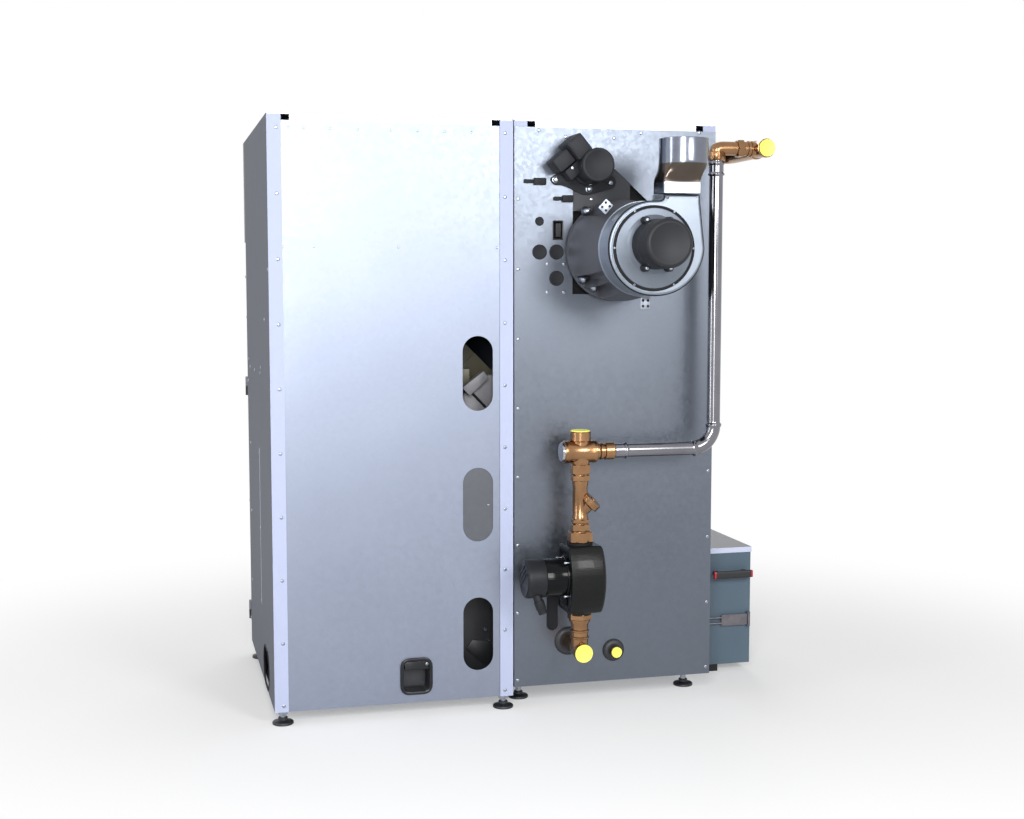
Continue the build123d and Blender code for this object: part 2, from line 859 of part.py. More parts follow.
def make_feed_drive():
    """The auger tube with its trough, the auger, the rotary valve and its rotor."""
    low = Vector(auger_low_x, auger_y, auger_low_z)
    high = Vector(auger_high_x, auger_y, auger_high_z)
    along = auger_direction()
    inner_r = tube_r - tube_wall
    half = neck_width / 2
    trough_front = neck_y - neck_depth / 2
    trough_rear = auger_y + tube_r + trough_wall
    trough = block(neck_x - half, neck_x + half, trough_front, trough_rear, trough_bottom, neck_z)
    hollow = block(neck_x - half + trough_wall, neck_x + half - trough_wall, trough_front + trough_wall,
                   trough_rear - trough_wall, trough_bottom + trough_wall, neck_z - trough_wall)
    mouth = block(neck_x - half + trough_wall, neck_x + half - trough_wall, trough_front + trough_wall,
                  neck_y + neck_depth / 2 - trough_wall, neck_z - trough_wall, neck_z)
    drop_x = valve_x
    drop_z = auger_high_z - (valve_x - auger_high_x)
    drop = rod_z(valve_z + valve_r, drop_z, drop_x, auger_y, drop_r)
    bore_end = high - along * tube_wall
    tube = link(low, high, tube_r) + trough + drop
    tube -= hollow
    tube -= mouth
    tube -= link(low, bore_end, inner_r)
    tube -= rod_z(valve_z, drop_z, drop_x, auger_y, drop_r - tube_wall)
    tube -= link(bore_end, high, auger_shaft_r + hole_gap)
    tube -= rod_y(auger_y - valve_length, auger_y + valve_length, valve_x, valve_z, valve_r + fit_gap)

    start = low + along * auger_end_gap
    screw_length = (high - low).length - tube_wall - 2 * auger_end_gap
    screw = flat_screw(auger_shaft_r, auger_flight_thick, screw_length, auger_flight_pitch, auger_flight_r)
    screw = Plane(origin=start, z_dir=along) * screw
    stub_end = high + along * gearbox_height / 2
    screw += link(start + along * screw_length, stub_end, auger_shaft_r)

    gearbox_plane = Plane(origin=stub_end, x_dir=(0, 1, 0), z_dir=along)
    gearbox = gearbox_plane * Box(gearbox_width, gearbox_width, gearbox_height)
    across = Vector(along.Z, 0, -along.X)
    motor_base = stub_end + across * motor_lift
    bridge = Plane(origin=stub_end + across * motor_lift / 2, x_dir=(0, 1, 0), z_dir=along)
    feed_motor = gearbox + bridge * Box(2 * motor_r, motor_lift, gearbox_height)
    feed_motor += link(motor_base + along * gearbox_height / 2, motor_base - along * motor_length, motor_r)
    feed_motor -= link(high, stub_end, auger_bore_r)

    y0 = valve_y - valve_length / 2
    y1 = valve_y + valve_length / 2
    housing = rod_y(y0, y1, valve_x, valve_z, valve_r)
    housing += chute_path(chute_r)
    housing -= rod_y(y0 + valve_cap, y1 - valve_cap, valve_x, valve_z, valve_r - valve_wall)
    housing -= chute_path(chute_r - chute_wall)
    housing -= rod_z(valve_z, valve_z + valve_r, valve_x, valve_y, drop_r - tube_wall)
    housing -= rod_y(y0, y1, valve_x, valve_z, rotor_bore_r)
    rotor_r = valve_r - valve_wall - rotor_gap
    rotor_y0 = y0 + valve_cap + rotor_gap
    rotor_y1 = y1 - valve_cap - rotor_gap
    rotor = rod_y(rotor_y0, rotor_y1, valve_x, valve_z, rotor_hub_r)
    rotor += rod_y(y0, y1, valve_x, valve_z, rotor_shaft_r)
    blade = block(0, rotor_r, rotor_y0, rotor_y1, -rotor_blade_thick / 2, rotor_blade_thick / 2)
    for index in range(rotor_blades):
        rotor += Pos(valve_x, 0, valve_z) * Rot(0, 360 / rotor_blades * index, 0) * blade
    return {"feed_auger_tube": tube, "feed_auger": screw, "gear_motors": feed_motor,
            "rotary_valve_housing": housing, "rotary_valve_rotor": rotor}


def make_turbine():
    """The black suction turbine box that stands on the feed unit's base."""
    floor = feed_bottom + base_sheet
    x0 = feed_in + turbine_x
    y0 = -turbine_rear - turbine_depth
    box = block(x0, x0 + turbine_width, y0, -turbine_rear, floor, floor + turbine_height)
    box = fillet(box.edges().filter_by(Axis.Z), radius=turbine_corner)
    return {"suction_turbine": box}


def flue_columns_x():
    """The X places of the flue tubes, centred over the chamber."""
    middle = (chamber_left + chamber_right) / 2
    first = middle - flue_pitch * (flue_columns - 1) / 2
    return [first + flue_pitch * index for index in range(flue_columns)]


def make_boiler_body():
    """The welded pressure body: outer shell, chamber, flue tubes and smoke box in one."""
    wall = body_wall
    shell = block(body_left, body_right, body_front, body_rear, body_bottom, body_top)
    water = block(body_left + wall, body_right - wall, body_front + wall, body_rear - wall,
                  body_bottom + wall, body_top - wall)
    fire_left = chamber_left + fire_opening_margin
    fire_right = chamber_right - fire_opening_margin
    gas = [
        (chamber_left, chamber_right, fire_front, chamber_rear_y, chamber_low, chamber_high),
        (chamber_left, chamber_right, chamber_rear_y, flue_block_rear_y, chamber_low, flue_low),
        (chamber_left, chamber_right, chamber_rear_y, flue_block_rear_y, flue_high, smokebox_top),
        (fire_left, fire_right, body_front, fire_front, fire_opening_low, fire_opening_high),
    ]
    for x0, x1, y0, y1, z0, z1 in gas:
        water -= block(x0 - wall, x1 + wall, y0 - wall, y1 + wall, z0 - wall, z1 + wall)
    tubes = [(x, y) for x in flue_columns_x() for y in flue_rows_y]
    for x, y in tubes:
        water -= rod_z(flue_low - wall, flue_high + wall, x, y, flue_r + wall)
    water -= rod_y(flue_block_rear_y, body_rear, fan_x, fan_z, fan_neck_r + wall)
    water -= rod_y(flue_block_rear_y, body_rear, crank_x, crank_z, crank_bore_r + wall)
    water -= rod_x(body_left, body_right, ash_auger_y, ash_auger_z, ash_bore_r + wall)
    water -= chute_path(chute_r + chute_hole_gap + wall)
    body = shell - water
    for x0, x1, y0, y1, z0, z1 in gas:
        body -= block(x0, x1, y0, y1, z0, z1)
    for x, y in tubes:
        body -= rod_z(flue_low, flue_high, x, y, flue_r)
    body -= rod_y(flue_block_rear_y, body_rear, fan_x, fan_z, fan_inner_r)
    body -= rod_y(flue_block_rear_y, body_rear, crank_x, crank_z, crank_bore_r)
    body -= rod_x(body_left, chamber_left, ash_auger_y, ash_auger_z, ash_bore_r)
    body -= rod_x(chamber_right, body_right, ash_auger_y, ash_auger_z, ash_shaft_bore_r)
    body -= block(chamber_right, body_right, 0, front, 0, casing_top) & chute_path(chute_r + chute_hole_gap)
    body -= rod_x(body_left, body_left + wall, outlet_y, flow_z, outlet_bore_r)
    body -= rod_y(body_rear - wall, body_rear, group_x, return_z, return_bore_r)
    body -= rod_y(body_rear - wall, body_rear, drain_x, drain_z, drain_bore_r)
    tube_end = boiler_out + sheet + fit_gap
    sleeve = rod_x(tube_end, body_left, ash_auger_y, ash_auger_z, ash_bore_r + ash_tube_wall)
    sleeve -= rod_x(tube_end, body_left, ash_auger_y, ash_auger_z, ash_bore_r)
    body += sleeve
    floor = boiler_bottom + base_sheet
    for x0, x1 in ((body_left, body_left + skid_width), (body_right - skid_width, body_right)):
        body += block(x0, x1, body_front, body_rear, floor, body_bottom)
    cover = block(fire_left - cover_margin, fire_right + cover_margin, body_front - cover_thick, body_front,
                  fire_opening_low - cover_margin, fire_opening_high + cover_margin)
    knob_z = (fire_opening_low + fire_opening_high) / 2
    cover_front = body_front - cover_thick
    for x in (fire_left, fire_right):
        cover += rod_y(cover_front - cover_knob_length, cover_front, x, knob_z, cover_knob_r)
    return {"boiler_body": body, "firebox_cover": cover}


def make_insulation():
    """The stone wool jacket round the boiler body, open where parts pass through it."""
    gap = insulation_hole_gap
    jacket = block(body_left - insulation_side, body_right + insulation_side, body_front - insulation_front,
                   body_rear + insulation_rear, body_bottom + insulation_bottom, body_top + insulation_top)
    jacket -= block(body_left, body_right, body_front, body_rear, body_bottom, body_top)
    fire_left = chamber_left + fire_opening_margin - cover_margin - gap
    fire_right = chamber_right - fire_opening_margin + cover_margin + gap
    jacket -= block(fire_left, fire_right, body_front - insulation_front, body_front,
                    fire_opening_low - cover_margin - gap, fire_opening_high + cover_margin + gap)
    outside = body_rear + insulation_rear
    left = body_left - insulation_side
    right = body_right + insulation_side
    jacket -= rod_y(body_rear, outside, fan_x, fan_z, fan_mount_flange_r + gap)
    jacket -= rod_y(body_rear, outside, crank_x, crank_z, crank_shaft_r + gap)
    jacket -= rod_y(body_rear, outside, group_x, return_z, return_r + gap)
    jacket -= rod_y(body_rear, outside, drain_x, drain_z, drain_r + gap)
    jacket -= rod_x(left, body_left, ash_auger_y, ash_auger_z, ash_bore_r + ash_tube_wall + gap)
    jacket -= rod_x(left, body_left, outlet_y, flow_z, tee_r + gap)
    half = ash_motor_size / 2 + gap
    jacket -= block(body_right, right, ash_auger_y - half, ash_auger_y + half,
                    ash_auger_z - half, ash_auger_z + half)
    jacket -= chute_path(chute_r + chute_hole_gap + gap)
    return {"insulation_jacket": jacket}


def make_burner():
    """The burner pot on its ledge, its sliding grate, the ash auger and its gear motor."""
    x = (chamber_left + chamber_right) / 2
    x0 = x - pot_width / 2
    x1 = x + pot_width / 2
    y0 = pot_y - pot_depth / 2
    y1 = pot_y + pot_depth / 2
    pot = block(x0, x1, y0, y1, pot_low, pot_high)
    pot += block(chamber_left, chamber_right, y0, y1, pot_high - pot_ledge, pot_high)
    pot -= block(x0 + pot_wall, x1 - pot_wall, y0 + pot_wall, y1 - pot_wall, pot_low, pot_high)
    runner_high = pot_low + grate_thick + 2 * grate_gap
    pot -= block(x0 + pot_wall, x1 - pot_wall, y0, y0 + pot_wall, pot_low, runner_high)
    grate = block(x0 + pot_wall + grate_gap, x1 - pot_wall - grate_gap, y0, y1 - pot_wall - grate_gap,
                  pot_low + grate_gap, pot_low + grate_gap + grate_thick)
    rib = pot_width / grate_gap_count
    for index in range(1, grate_gap_count):
        slit_x = x0 + rib * index
        grate -= block(slit_x - pot_wall / 2, slit_x + pot_wall / 2, y0 + grate_end, y1 - grate_end,
                       pot_low, pot_low + 2 * grate_thick)
    pot += block(x0 + pot_wall, x0 + 2 * pot_wall, y0, y1, pot_low - pot_ledge, pot_low)
    pot += block(x1 - 2 * pot_wall, x1 - pot_wall, y0, y1, pot_low - pot_ledge, pot_low)
    pot += block(x0, x0 + pot_wall, y0, y1, pot_low - pot_ledge, pot_low)
    pot += block(x1 - pot_wall, x1, y0, y1, pot_low - pot_ledge, pot_low)

    end = boiler_out + sheet
    screw_length = chamber_right - end - auger_end_gap
    screw = flat_screw(ash_shaft_r, ash_flight_thick, screw_length, ash_pitch, ash_auger_r)
    screw = Plane(origin=(end, ash_auger_y, ash_auger_z), z_dir=(1, 0, 0)) * screw
    shaft_end = body_right + ash_motor_stand + ash_motor_depth / 2
    screw += rod_x(chamber_right - auger_end_gap, shaft_end, ash_auger_y, ash_auger_z, ash_shaft_r)
    half = ash_motor_size / 2
    near = body_right
    far = body_right + ash_motor_stand + ash_motor_depth
    motor = block(near + ash_motor_stand, far, ash_auger_y - half, ash_auger_y + half,
                  ash_auger_z - half, ash_auger_z + half)
    motor = fillet(motor.edges().filter_by(Axis.X), radius=half / 4)
    motor += rod_x(near, near + ash_motor_stand, ash_auger_y, ash_auger_z, half / 2)
    motor -= rod_x(near, shaft_end, ash_auger_y, ash_auger_z, ash_shaft_bore_r)
    return {"burner_pot": pot, "grate": grate, "ash_auger": screw, "gear_motors": motor}


def make_cleaning():
    """The turbulators on their rack, the crank that lifts them and the actuator outside."""
    columns = flue_columns_x()
    rack = block(columns[0] - lift_plate_overhang, columns[-1] + lift_plate_overhang,
                 min(flue_rows_y) - lift_plate_overhang, max(flue_rows_y) + lift_plate_overhang - lift_post,
                 lift_plate_z, lift_plate_z + lift_plate_thick)
    half = turbulator_width / 2
    for x in columns:
        for y in flue_rows_y:
            strip = block(x - half, x + half, y - turbulator_thick / 2, y + turbulator_thick / 2,
                          turbulator_low, lift_plate_z)
            cross = block(x - turbulator_thick / 2, x + turbulator_thick / 2, y - half, y + half,
                          turbulator_low, flue_high - turbulator_twist_rise)
            rack += strip + cross
    bar_low = crank_z + crank_roller_r
    bar_x0 = crank_x - lift_bar_reach
    bar_x1 = bar_x0 + lift_bar_width
    bar_y0 = crank_y - lift_bar_depth / 2
    bar_y1 = crank_y + lift_bar_depth / 2
    rack += block(bar_x0, bar_x1, bar_y0, bar_y1, bar_low, bar_low + lift_bar_thick)
    rack += block(bar_x0, bar_x0 + lift_post, bar_y0, bar_y1, lift_plate_z, bar_low + lift_bar_thick)

    crank = rod_y(crank_y - crank_arm_thick / 2, crank_shaft_front, crank_x, crank_z, crank_shaft_r)
    arm_y0 = crank_y - crank_arm_thick / 2
    arm_y1 = crank_y + crank_arm_thick / 2
    crank += block(crank_x, crank_x - crank_arm, arm_y0, arm_y1, crank_z - crank_roller_r / 2,
                   crank_z + crank_roller_r / 2)
    crank += rod_y(arm_y0, arm_y1, crank_x - crank_arm, crank_z, crank_roller_r)

    plate = block(-cutout_left + plate_margin, -plate_right, -sheet - plate_thick, -sheet,
                  fan_z + plate_low_rise, fan_z + plate_high_rise)
    plate -= rod_y(-sheet - plate_thick, -sheet, crank_x, crank_z, crank_shaft_r + hole_gap)

    lug_points = [(x, fan_z + rise) for x, rise in lug_rises]
    cap_z = fan_z + actuator_cap_rise
    flange = outline_y(lug_points, 0, actuator_flange)
    for x, z in lug_points:
        flange += rod_y(0, actuator_flange, x, z, lug_r)
        flange += rod_y(actuator_flange, actuator_flange + lug_bolt_height, x, z, lug_bolt_r)
    cap = rod_y(actuator_flange, actuator_cap_far, crank_x, cap_z, actuator_cap_r)
    cap = fillet(cap.edges().group_by(Axis.Y)[-1], radius=actuator_flange)
    seat = rod_y(0, actuator_cap_near, crank_x, cap_z, actuator_cap_r)

    def turned(x, rise, width, length, far):
        piece = Box(width, far, length)
        return Pos(x, far / 2, fan_z + rise) * Rot(0, actuator_turn, 0) * piece

    gear = turned(actuator_box_x, actuator_box_rise, actuator_box_width, actuator_box_length,
                  actuator_box_far)
    side = turned(actuator_side_x, actuator_side_rise, actuator_side_width, actuator_side_length,
                  actuator_side_far)
    actuator = flange + cap + seat + gear + side
    actuator -= rod_y(0, crank_shaft_front, crank_x, crank_z, crank_bore_r)
    return {"turbulators": rack, "cleaning_crank": crank, "actuator_plate": plate,
            "cleaning_actuator": actuator}


def make_boiler_rear():
    """The boiler's rear panel, and the plugs, clamps and mains switch on it."""
    panel = block(boiler_out, boiler_in, -sheet, 0, boiler_bottom, panel_top)
    bottom = fan_z - cutout_bottom_drop
    top = fan_z + cutout_top_rise
    shoulder = fan_z + cutout_shoulder_rise
    cutout = [(-cutout_left, bottom), (-cutout_left, top), (-cutout_top_right, top),
              (-cutout_right, shoulder), (-cutout_right, bottom)]
    panel -= outline_y(cutout, -sheet, 0)
    panel -= rod_y(-sheet, 0, group_x, return_z, return_r + hole_gap)
    panel -= rod_y(-sheet, 0, drain_x, drain_z, drain_r + hole_gap)
    panel -= block(switch_x - switch_width / 2, switch_x + switch_width / 2, -sheet, 0,
                   switch_z - switch_height / 2, switch_z + switch_height / 2)
    plate_left = -gland_plate_left
    plate_right = -cutout_left
    fittings = []
    fittings.append(block(plate_left, plate_right, 0, gland_plate, gland_plate_low, gland_plate_high))
    for x, rise, radius in plug_list:
        z = fan_z + rise
        seat = gland_plate if gland_plate_low < z < gland_plate_high else 0
        plug = rod_y(seat, seat + plug_proud, x, z, radius)
        fittings.append(fillet(plug.edges().group_by(Axis.Y)[-1], radius=plug_proud / 3))
    fittings.append(slot_y(slot_plug_x, slot_plug_z, slot_plug_width, slot_plug_height, 0, plug_proud))
    for x, rise, length in clamp_list:
        z = fan_z + rise
        clamp = block(x - length / 2, x + length / 2, 0, clamp_depth,
                      z - clamp_height / 2, z + clamp_height / 2)
        fittings.append(fillet(clamp.edges().filter_by(Axis.Y), radius=clamp_height / 4))
    outer_w = switch_width + 2 * switch_bezel
    outer_h = switch_height + 2 * switch_bezel
    bezel = back_plate(switch_x, switch_z, outer_w, outer_h, switch_bezel, 0, switch_proud)
    inner_w = switch_width - 2 * rocker_gap
    inner_h = switch_height - 2 * rocker_gap
    sleeve = back_plate(switch_x, switch_z, inner_w, inner_h, switch_bezel, -rocker_depth - switch_proud, 0)
    mouth_w = inner_w - 2 * switch_bezel
    mouth_h = inner_h - 2 * switch_bezel
    hollow = block(switch_x - mouth_w / 2, switch_x + mouth_w / 2, -rocker_depth, switch_proud,
                   switch_z - mouth_h / 2, switch_z + mouth_h / 2)
    frame = bezel + sleeve - hollow
    pin_half = mouth_w / 2 + switch_bezel / 2
    frame -= rod_x(switch_x - pin_half, switch_x + pin_half, 0, switch_z, rocker_pin_bore_r)
    fittings.append(frame)
    rocker_w = mouth_w / 2 - rocker_gap
    rocker_h = mouth_h / 2 - 2 * rocker_gap
    rocker = block(switch_x - rocker_w, switch_x + rocker_w, -switch_proud, switch_proud + rocker_gap,
                   switch_z - rocker_h, switch_z + rocker_h)
    pin_half -= rocker_gap
    rocker += rod_x(switch_x - pin_half, switch_x + pin_half, 0, switch_z, rocker_pin_r)
    return {"boiler_rear_panel": panel, "cable_fittings": fittings, "mains_rocker": rocker}


def volute_outline(inset):
    """The volute's outline in (x, z): three arcs that widen to the duct, then its straight sides."""
    left_r = volute_r - inset
    right_r = volute_r_right - inset
    left = (fan_x + left_r, -fan_z)
    bottom = (fan_x, -(fan_z - left_r))
    right = (fan_x - right_r, -fan_z)
    mean_r = (left_r + right_r) / 2
    tongue = (-tongue_x - inset, -(fan_z + tongue_rise - inset / 2))
    duct_l = (-duct_left - inset, -duct_top)
    duct_r = (-duct_right + inset, -duct_top)
    upper_left = (fan_x + left_r * diagonal_share, -(fan_z + left_r * diagonal_share))
    low_left = (fan_x + left_r * diagonal_share, -(fan_z - left_r * diagonal_share))
    low_right = (fan_x - mean_r * diagonal_share, -(fan_z - mean_r * diagonal_share))
    lines = ThreePointArc(tongue, upper_left, left)
    lines += ThreePointArc(left, low_left, bottom)
    lines += ThreePointArc(bottom, low_right, right)
    lines += Line(right, duct_r)
    lines += Line(duct_r, duct_l)
    lines += Line(duct_l, tongue)
    return make_face(lines)


def make_fan():
    """The flue fan: domed mount, volute, cover, impeller, motor and dome nuts."""
    wall = volute_wall
    flange_y = body_rear + fan_mount_flange
    seat = fan_rim_y + fan_rim_thick
    profile = Polyline((fan_inner_r, body_rear), (fan_mount_flange_r, body_rear),
                       (fan_mount_flange_r, flange_y), (fan_neck_r, flange_y), (fan_neck_r, fan_rim_y),
                       (fan_rim_r, fan_rim_y), (fan_rim_r, seat))
    dome = ThreePointArc((fan_rim_r, seat), (fan_dome_r, fan_dome_y), (fan_waist_r, fan_waist_y))
    tail = Polyline((fan_waist_r, fan_waist_y), (volute_r, volute_near - wall), (volute_r, volute_near),
                    (fan_throat_r, volute_near), (fan_throat_r, fan_waist_y),
                    (fan_inner_r, fan_waist_y - 2 * wall), (fan_inner_r, body_rear))
    turned = make_face(profile + dome + tail)
    mount = revolve(turned, axis=Axis.Y)
    mount = Pos(fan_x, 0, fan_z) * mount

    volute = extrude(face_at(volute_near) * volute_outline(0), amount=volute_depth)
    hollow = extrude(face_at(volute_near + wall) * volute_outline(wall), amount=volute_depth - 2 * wall)
    duct_hole = block(-duct_left - wall, -duct_right + wall, volute_near + wall, volute_far - wall,
                      duct_top - 2 * wall, duct_top)
    volute -= hollow
    volute -= duct_hole
    volute -= rod_y(volute_near, volute_near + wall, fan_x, fan_z, fan_throat_r)
    volute -= rod_y(volute_far - wall, volute_far, fan_x, fan_z, fan_cover_hole_r)

    cover = rod_y(volute_far, volute_far + fan_cover_thick, fan_x, fan_z, fan_cover_r)
    cone_y = volute_far + fan_cover_thick
    motor_y = cone_y + cone_height
    cone = Rot(-90, 0, 0) * Cone(cone_base_r, fan_motor_r, cone_height)
    cover += Pos(fan_x, (cone_y + motor_y) / 2, motor_z) * cone
    cover -= rod_y(volute_far, motor_y, fan_x, motor_z, fan_shaft_r + hole_gap)
    motor = rod_y(motor_y, motor_y + fan_motor_length, fan_x, motor_z, fan_motor_r)
    motor = chamfer(motor.edges().group_by(Axis.Y)[-1], length=fan_motor_chamfer)
    shaft_end = motor_y + fan_motor_length / 2
    motor -= rod_y(motor_y, shaft_end, fan_x, motor_z, fan_shaft_bore_r)

    wheel_y1 = volute_far - 2 * wall
    wheel_y0 = wheel_y1 - impeller_width
    wheel = rod_y(wheel_y1 - impeller_plate, wheel_y1, fan_x, motor_z, impeller_r)
    ring = rod_y(wheel_y0, wheel_y0 + impeller_plate, fan_x, motor_z, impeller_r)
    ring_bore_r = impeller_r - impeller_blade_length - impeller_blade_thick
    ring -= rod_y(wheel_y0, wheel_y0 + impeller_plate, fan_x, motor_z, ring_bore_r)
    blade = block(impeller_r - impeller_blade_length, impeller_r - impeller_blade_thick, wheel_y0, wheel_y1,
                  -impeller_blade_thick / 2, impeller_blade_thick / 2)
    wheel += ring
    for index in range(impeller_blades):
        wheel += Pos(fan_x, 0, motor_z) * Rot(0, 360 / impeller_blades * index, 0) * blade
    wheel += rod_y(wheel_y0 + impeller_width / 2, wheel_y1, fan_x, motor_z, impeller_hub_r)
    wheel += rod_y(wheel_y1, shaft_end, fan_x, motor_z, fan_shaft_r)

    nuts = []
    for x, z in nut_points:
        mount -= rod_y(seat, fan_waist_y, x, z, nut_r + nut_scallop_gap)
        nut = rod_y(seat, seat + nut_height, x, z, nut_r)
        nuts.append(fillet(nut.edges().group_by(Axis.Y)[-1], radius=nut_r / 2))
    return {"fan_mount": mount, "fan_volute": volute, "fan_cover": cover, "fan_motor": motor,
            "fan_impeller": wheel, "fasteners": nuts}


def make_flue():
    """The flue adapter: a square socket on the duct, a loft, and a round spigot."""
    def shell(inset):
        wall = adapter_duct_wall
        left = -duct_left - inset
        right = -duct_right + inset
        y0 = volute_near + inset
        y1 = volute_far - inset
        radius = spigot_r - inset * spigot_wall / wall
        socket_top = Plane(origin=((left + right) / 2, (y0 + y1) / 2, adapter_square_top))
        square = socket_top * Rectangle(left - right, y1 - y0)
        circle = Plane(origin=(spigot_x, spigot_y, adapter_round_low)) * Circle(radius)
        low = block(left, right, y0, y1, duct_top, adapter_square_top)
        high = rod_z(adapter_round_low, spigot_top, spigot_x, spigot_y, radius)
        return low + loft([square, circle]) + high

    return {"flue_adapter": shell(0) - shell(adapter_duct_wall)}


def make_pump():
    """The circulation pump: shell, wet motor with its control head, and rotor."""
    centre = group_x - pump_shift
    x0 = centre - pump_width / 2
    x1 = pump_near_face
    y0 = group_y - pump_depth / 2
    y1 = group_y + pump_depth / 2
    z0 = pump_z - pump_height / 2
    z1 = pump_z + pump_height / 2
    housing = block(x0, x1, y0, y1, z0, z1)
    housing = fillet(housing.edges().filter_by(Axis.X), radius=pump_corner)
    port_low = pump_z - pump_length / 2
    port_high = pump_z + pump_length / 2
    housing += rod_z(port_low, port_high, group_x, group_y, pump_neck_r)
    housing -= rod_z(port_low, port_high, group_x, group_y, mixing_bore_r)
    cavity_x1 = x1
    cavity_x0 = cavity_x1 - pump_cavity_width
    housing -= rod_x(cavity_x0, cavity_x1, group_y, pump_z, pump_cavity_r)
    barrel_end = x1 + pump_barrel
    head_end = barrel_end + pump_head
    motor = rod_x(x1, barrel_end, group_y, pump_z, pump_motor_r)
    plate = rod_x(x1, x1 + pump_plate, group_y, pump_z, pump_plate_r)
    head = rod_x(barrel_end, head_end, group_y, pump_z, pump_head_r)
    head = fillet(head.edges().group_by(Axis.X)[-1], radius=pump_corner / 2)
    gland_x = (barrel_end + head_end) / 2 - pump_gland_r
    gland_low = pump_z - pump_head_r - pump_gland_length
    gland = rod_z(gland_low, pump_z - pump_head_r / 2, gland_x, group_y, pump_gland_r)
    motor += plate + head + gland
    motor -= rod_x(x1, x1 + pump_shaft_length, group_y, pump_z, pump_shaft_bore_r)
    rotor_x1 = x1 - (pump_cavity_width - pump_rotor_width) / 2
    rotor = rod_x(rotor_x1 - pump_rotor_width, rotor_x1, group_y, pump_z, pump_rotor_r)
    rotor -= rod_x(rotor_x1 - pump_rotor_width, rotor_x1 - pump_rotor_width / 2, group_y, pump_z, pump_neck_r)
    rotor += rod_x(rotor_x1 - pump_rotor_width / 2, x1 + pump_shaft_length, group_y, pump_z, pump_shaft_r)
    return {"pump_housing": housing, "pump_motor": motor, "pump_rotor": rotor}


def bored_hex(z0, flats, height, bore):
    """A hexagonal nut round the pump group's axis."""
    nut = hexagon(Plane(origin=(group_x, group_y, z0)), flats, height)
    return nut - rod_z(z0, z0 + height, group_x, group_y, bore)


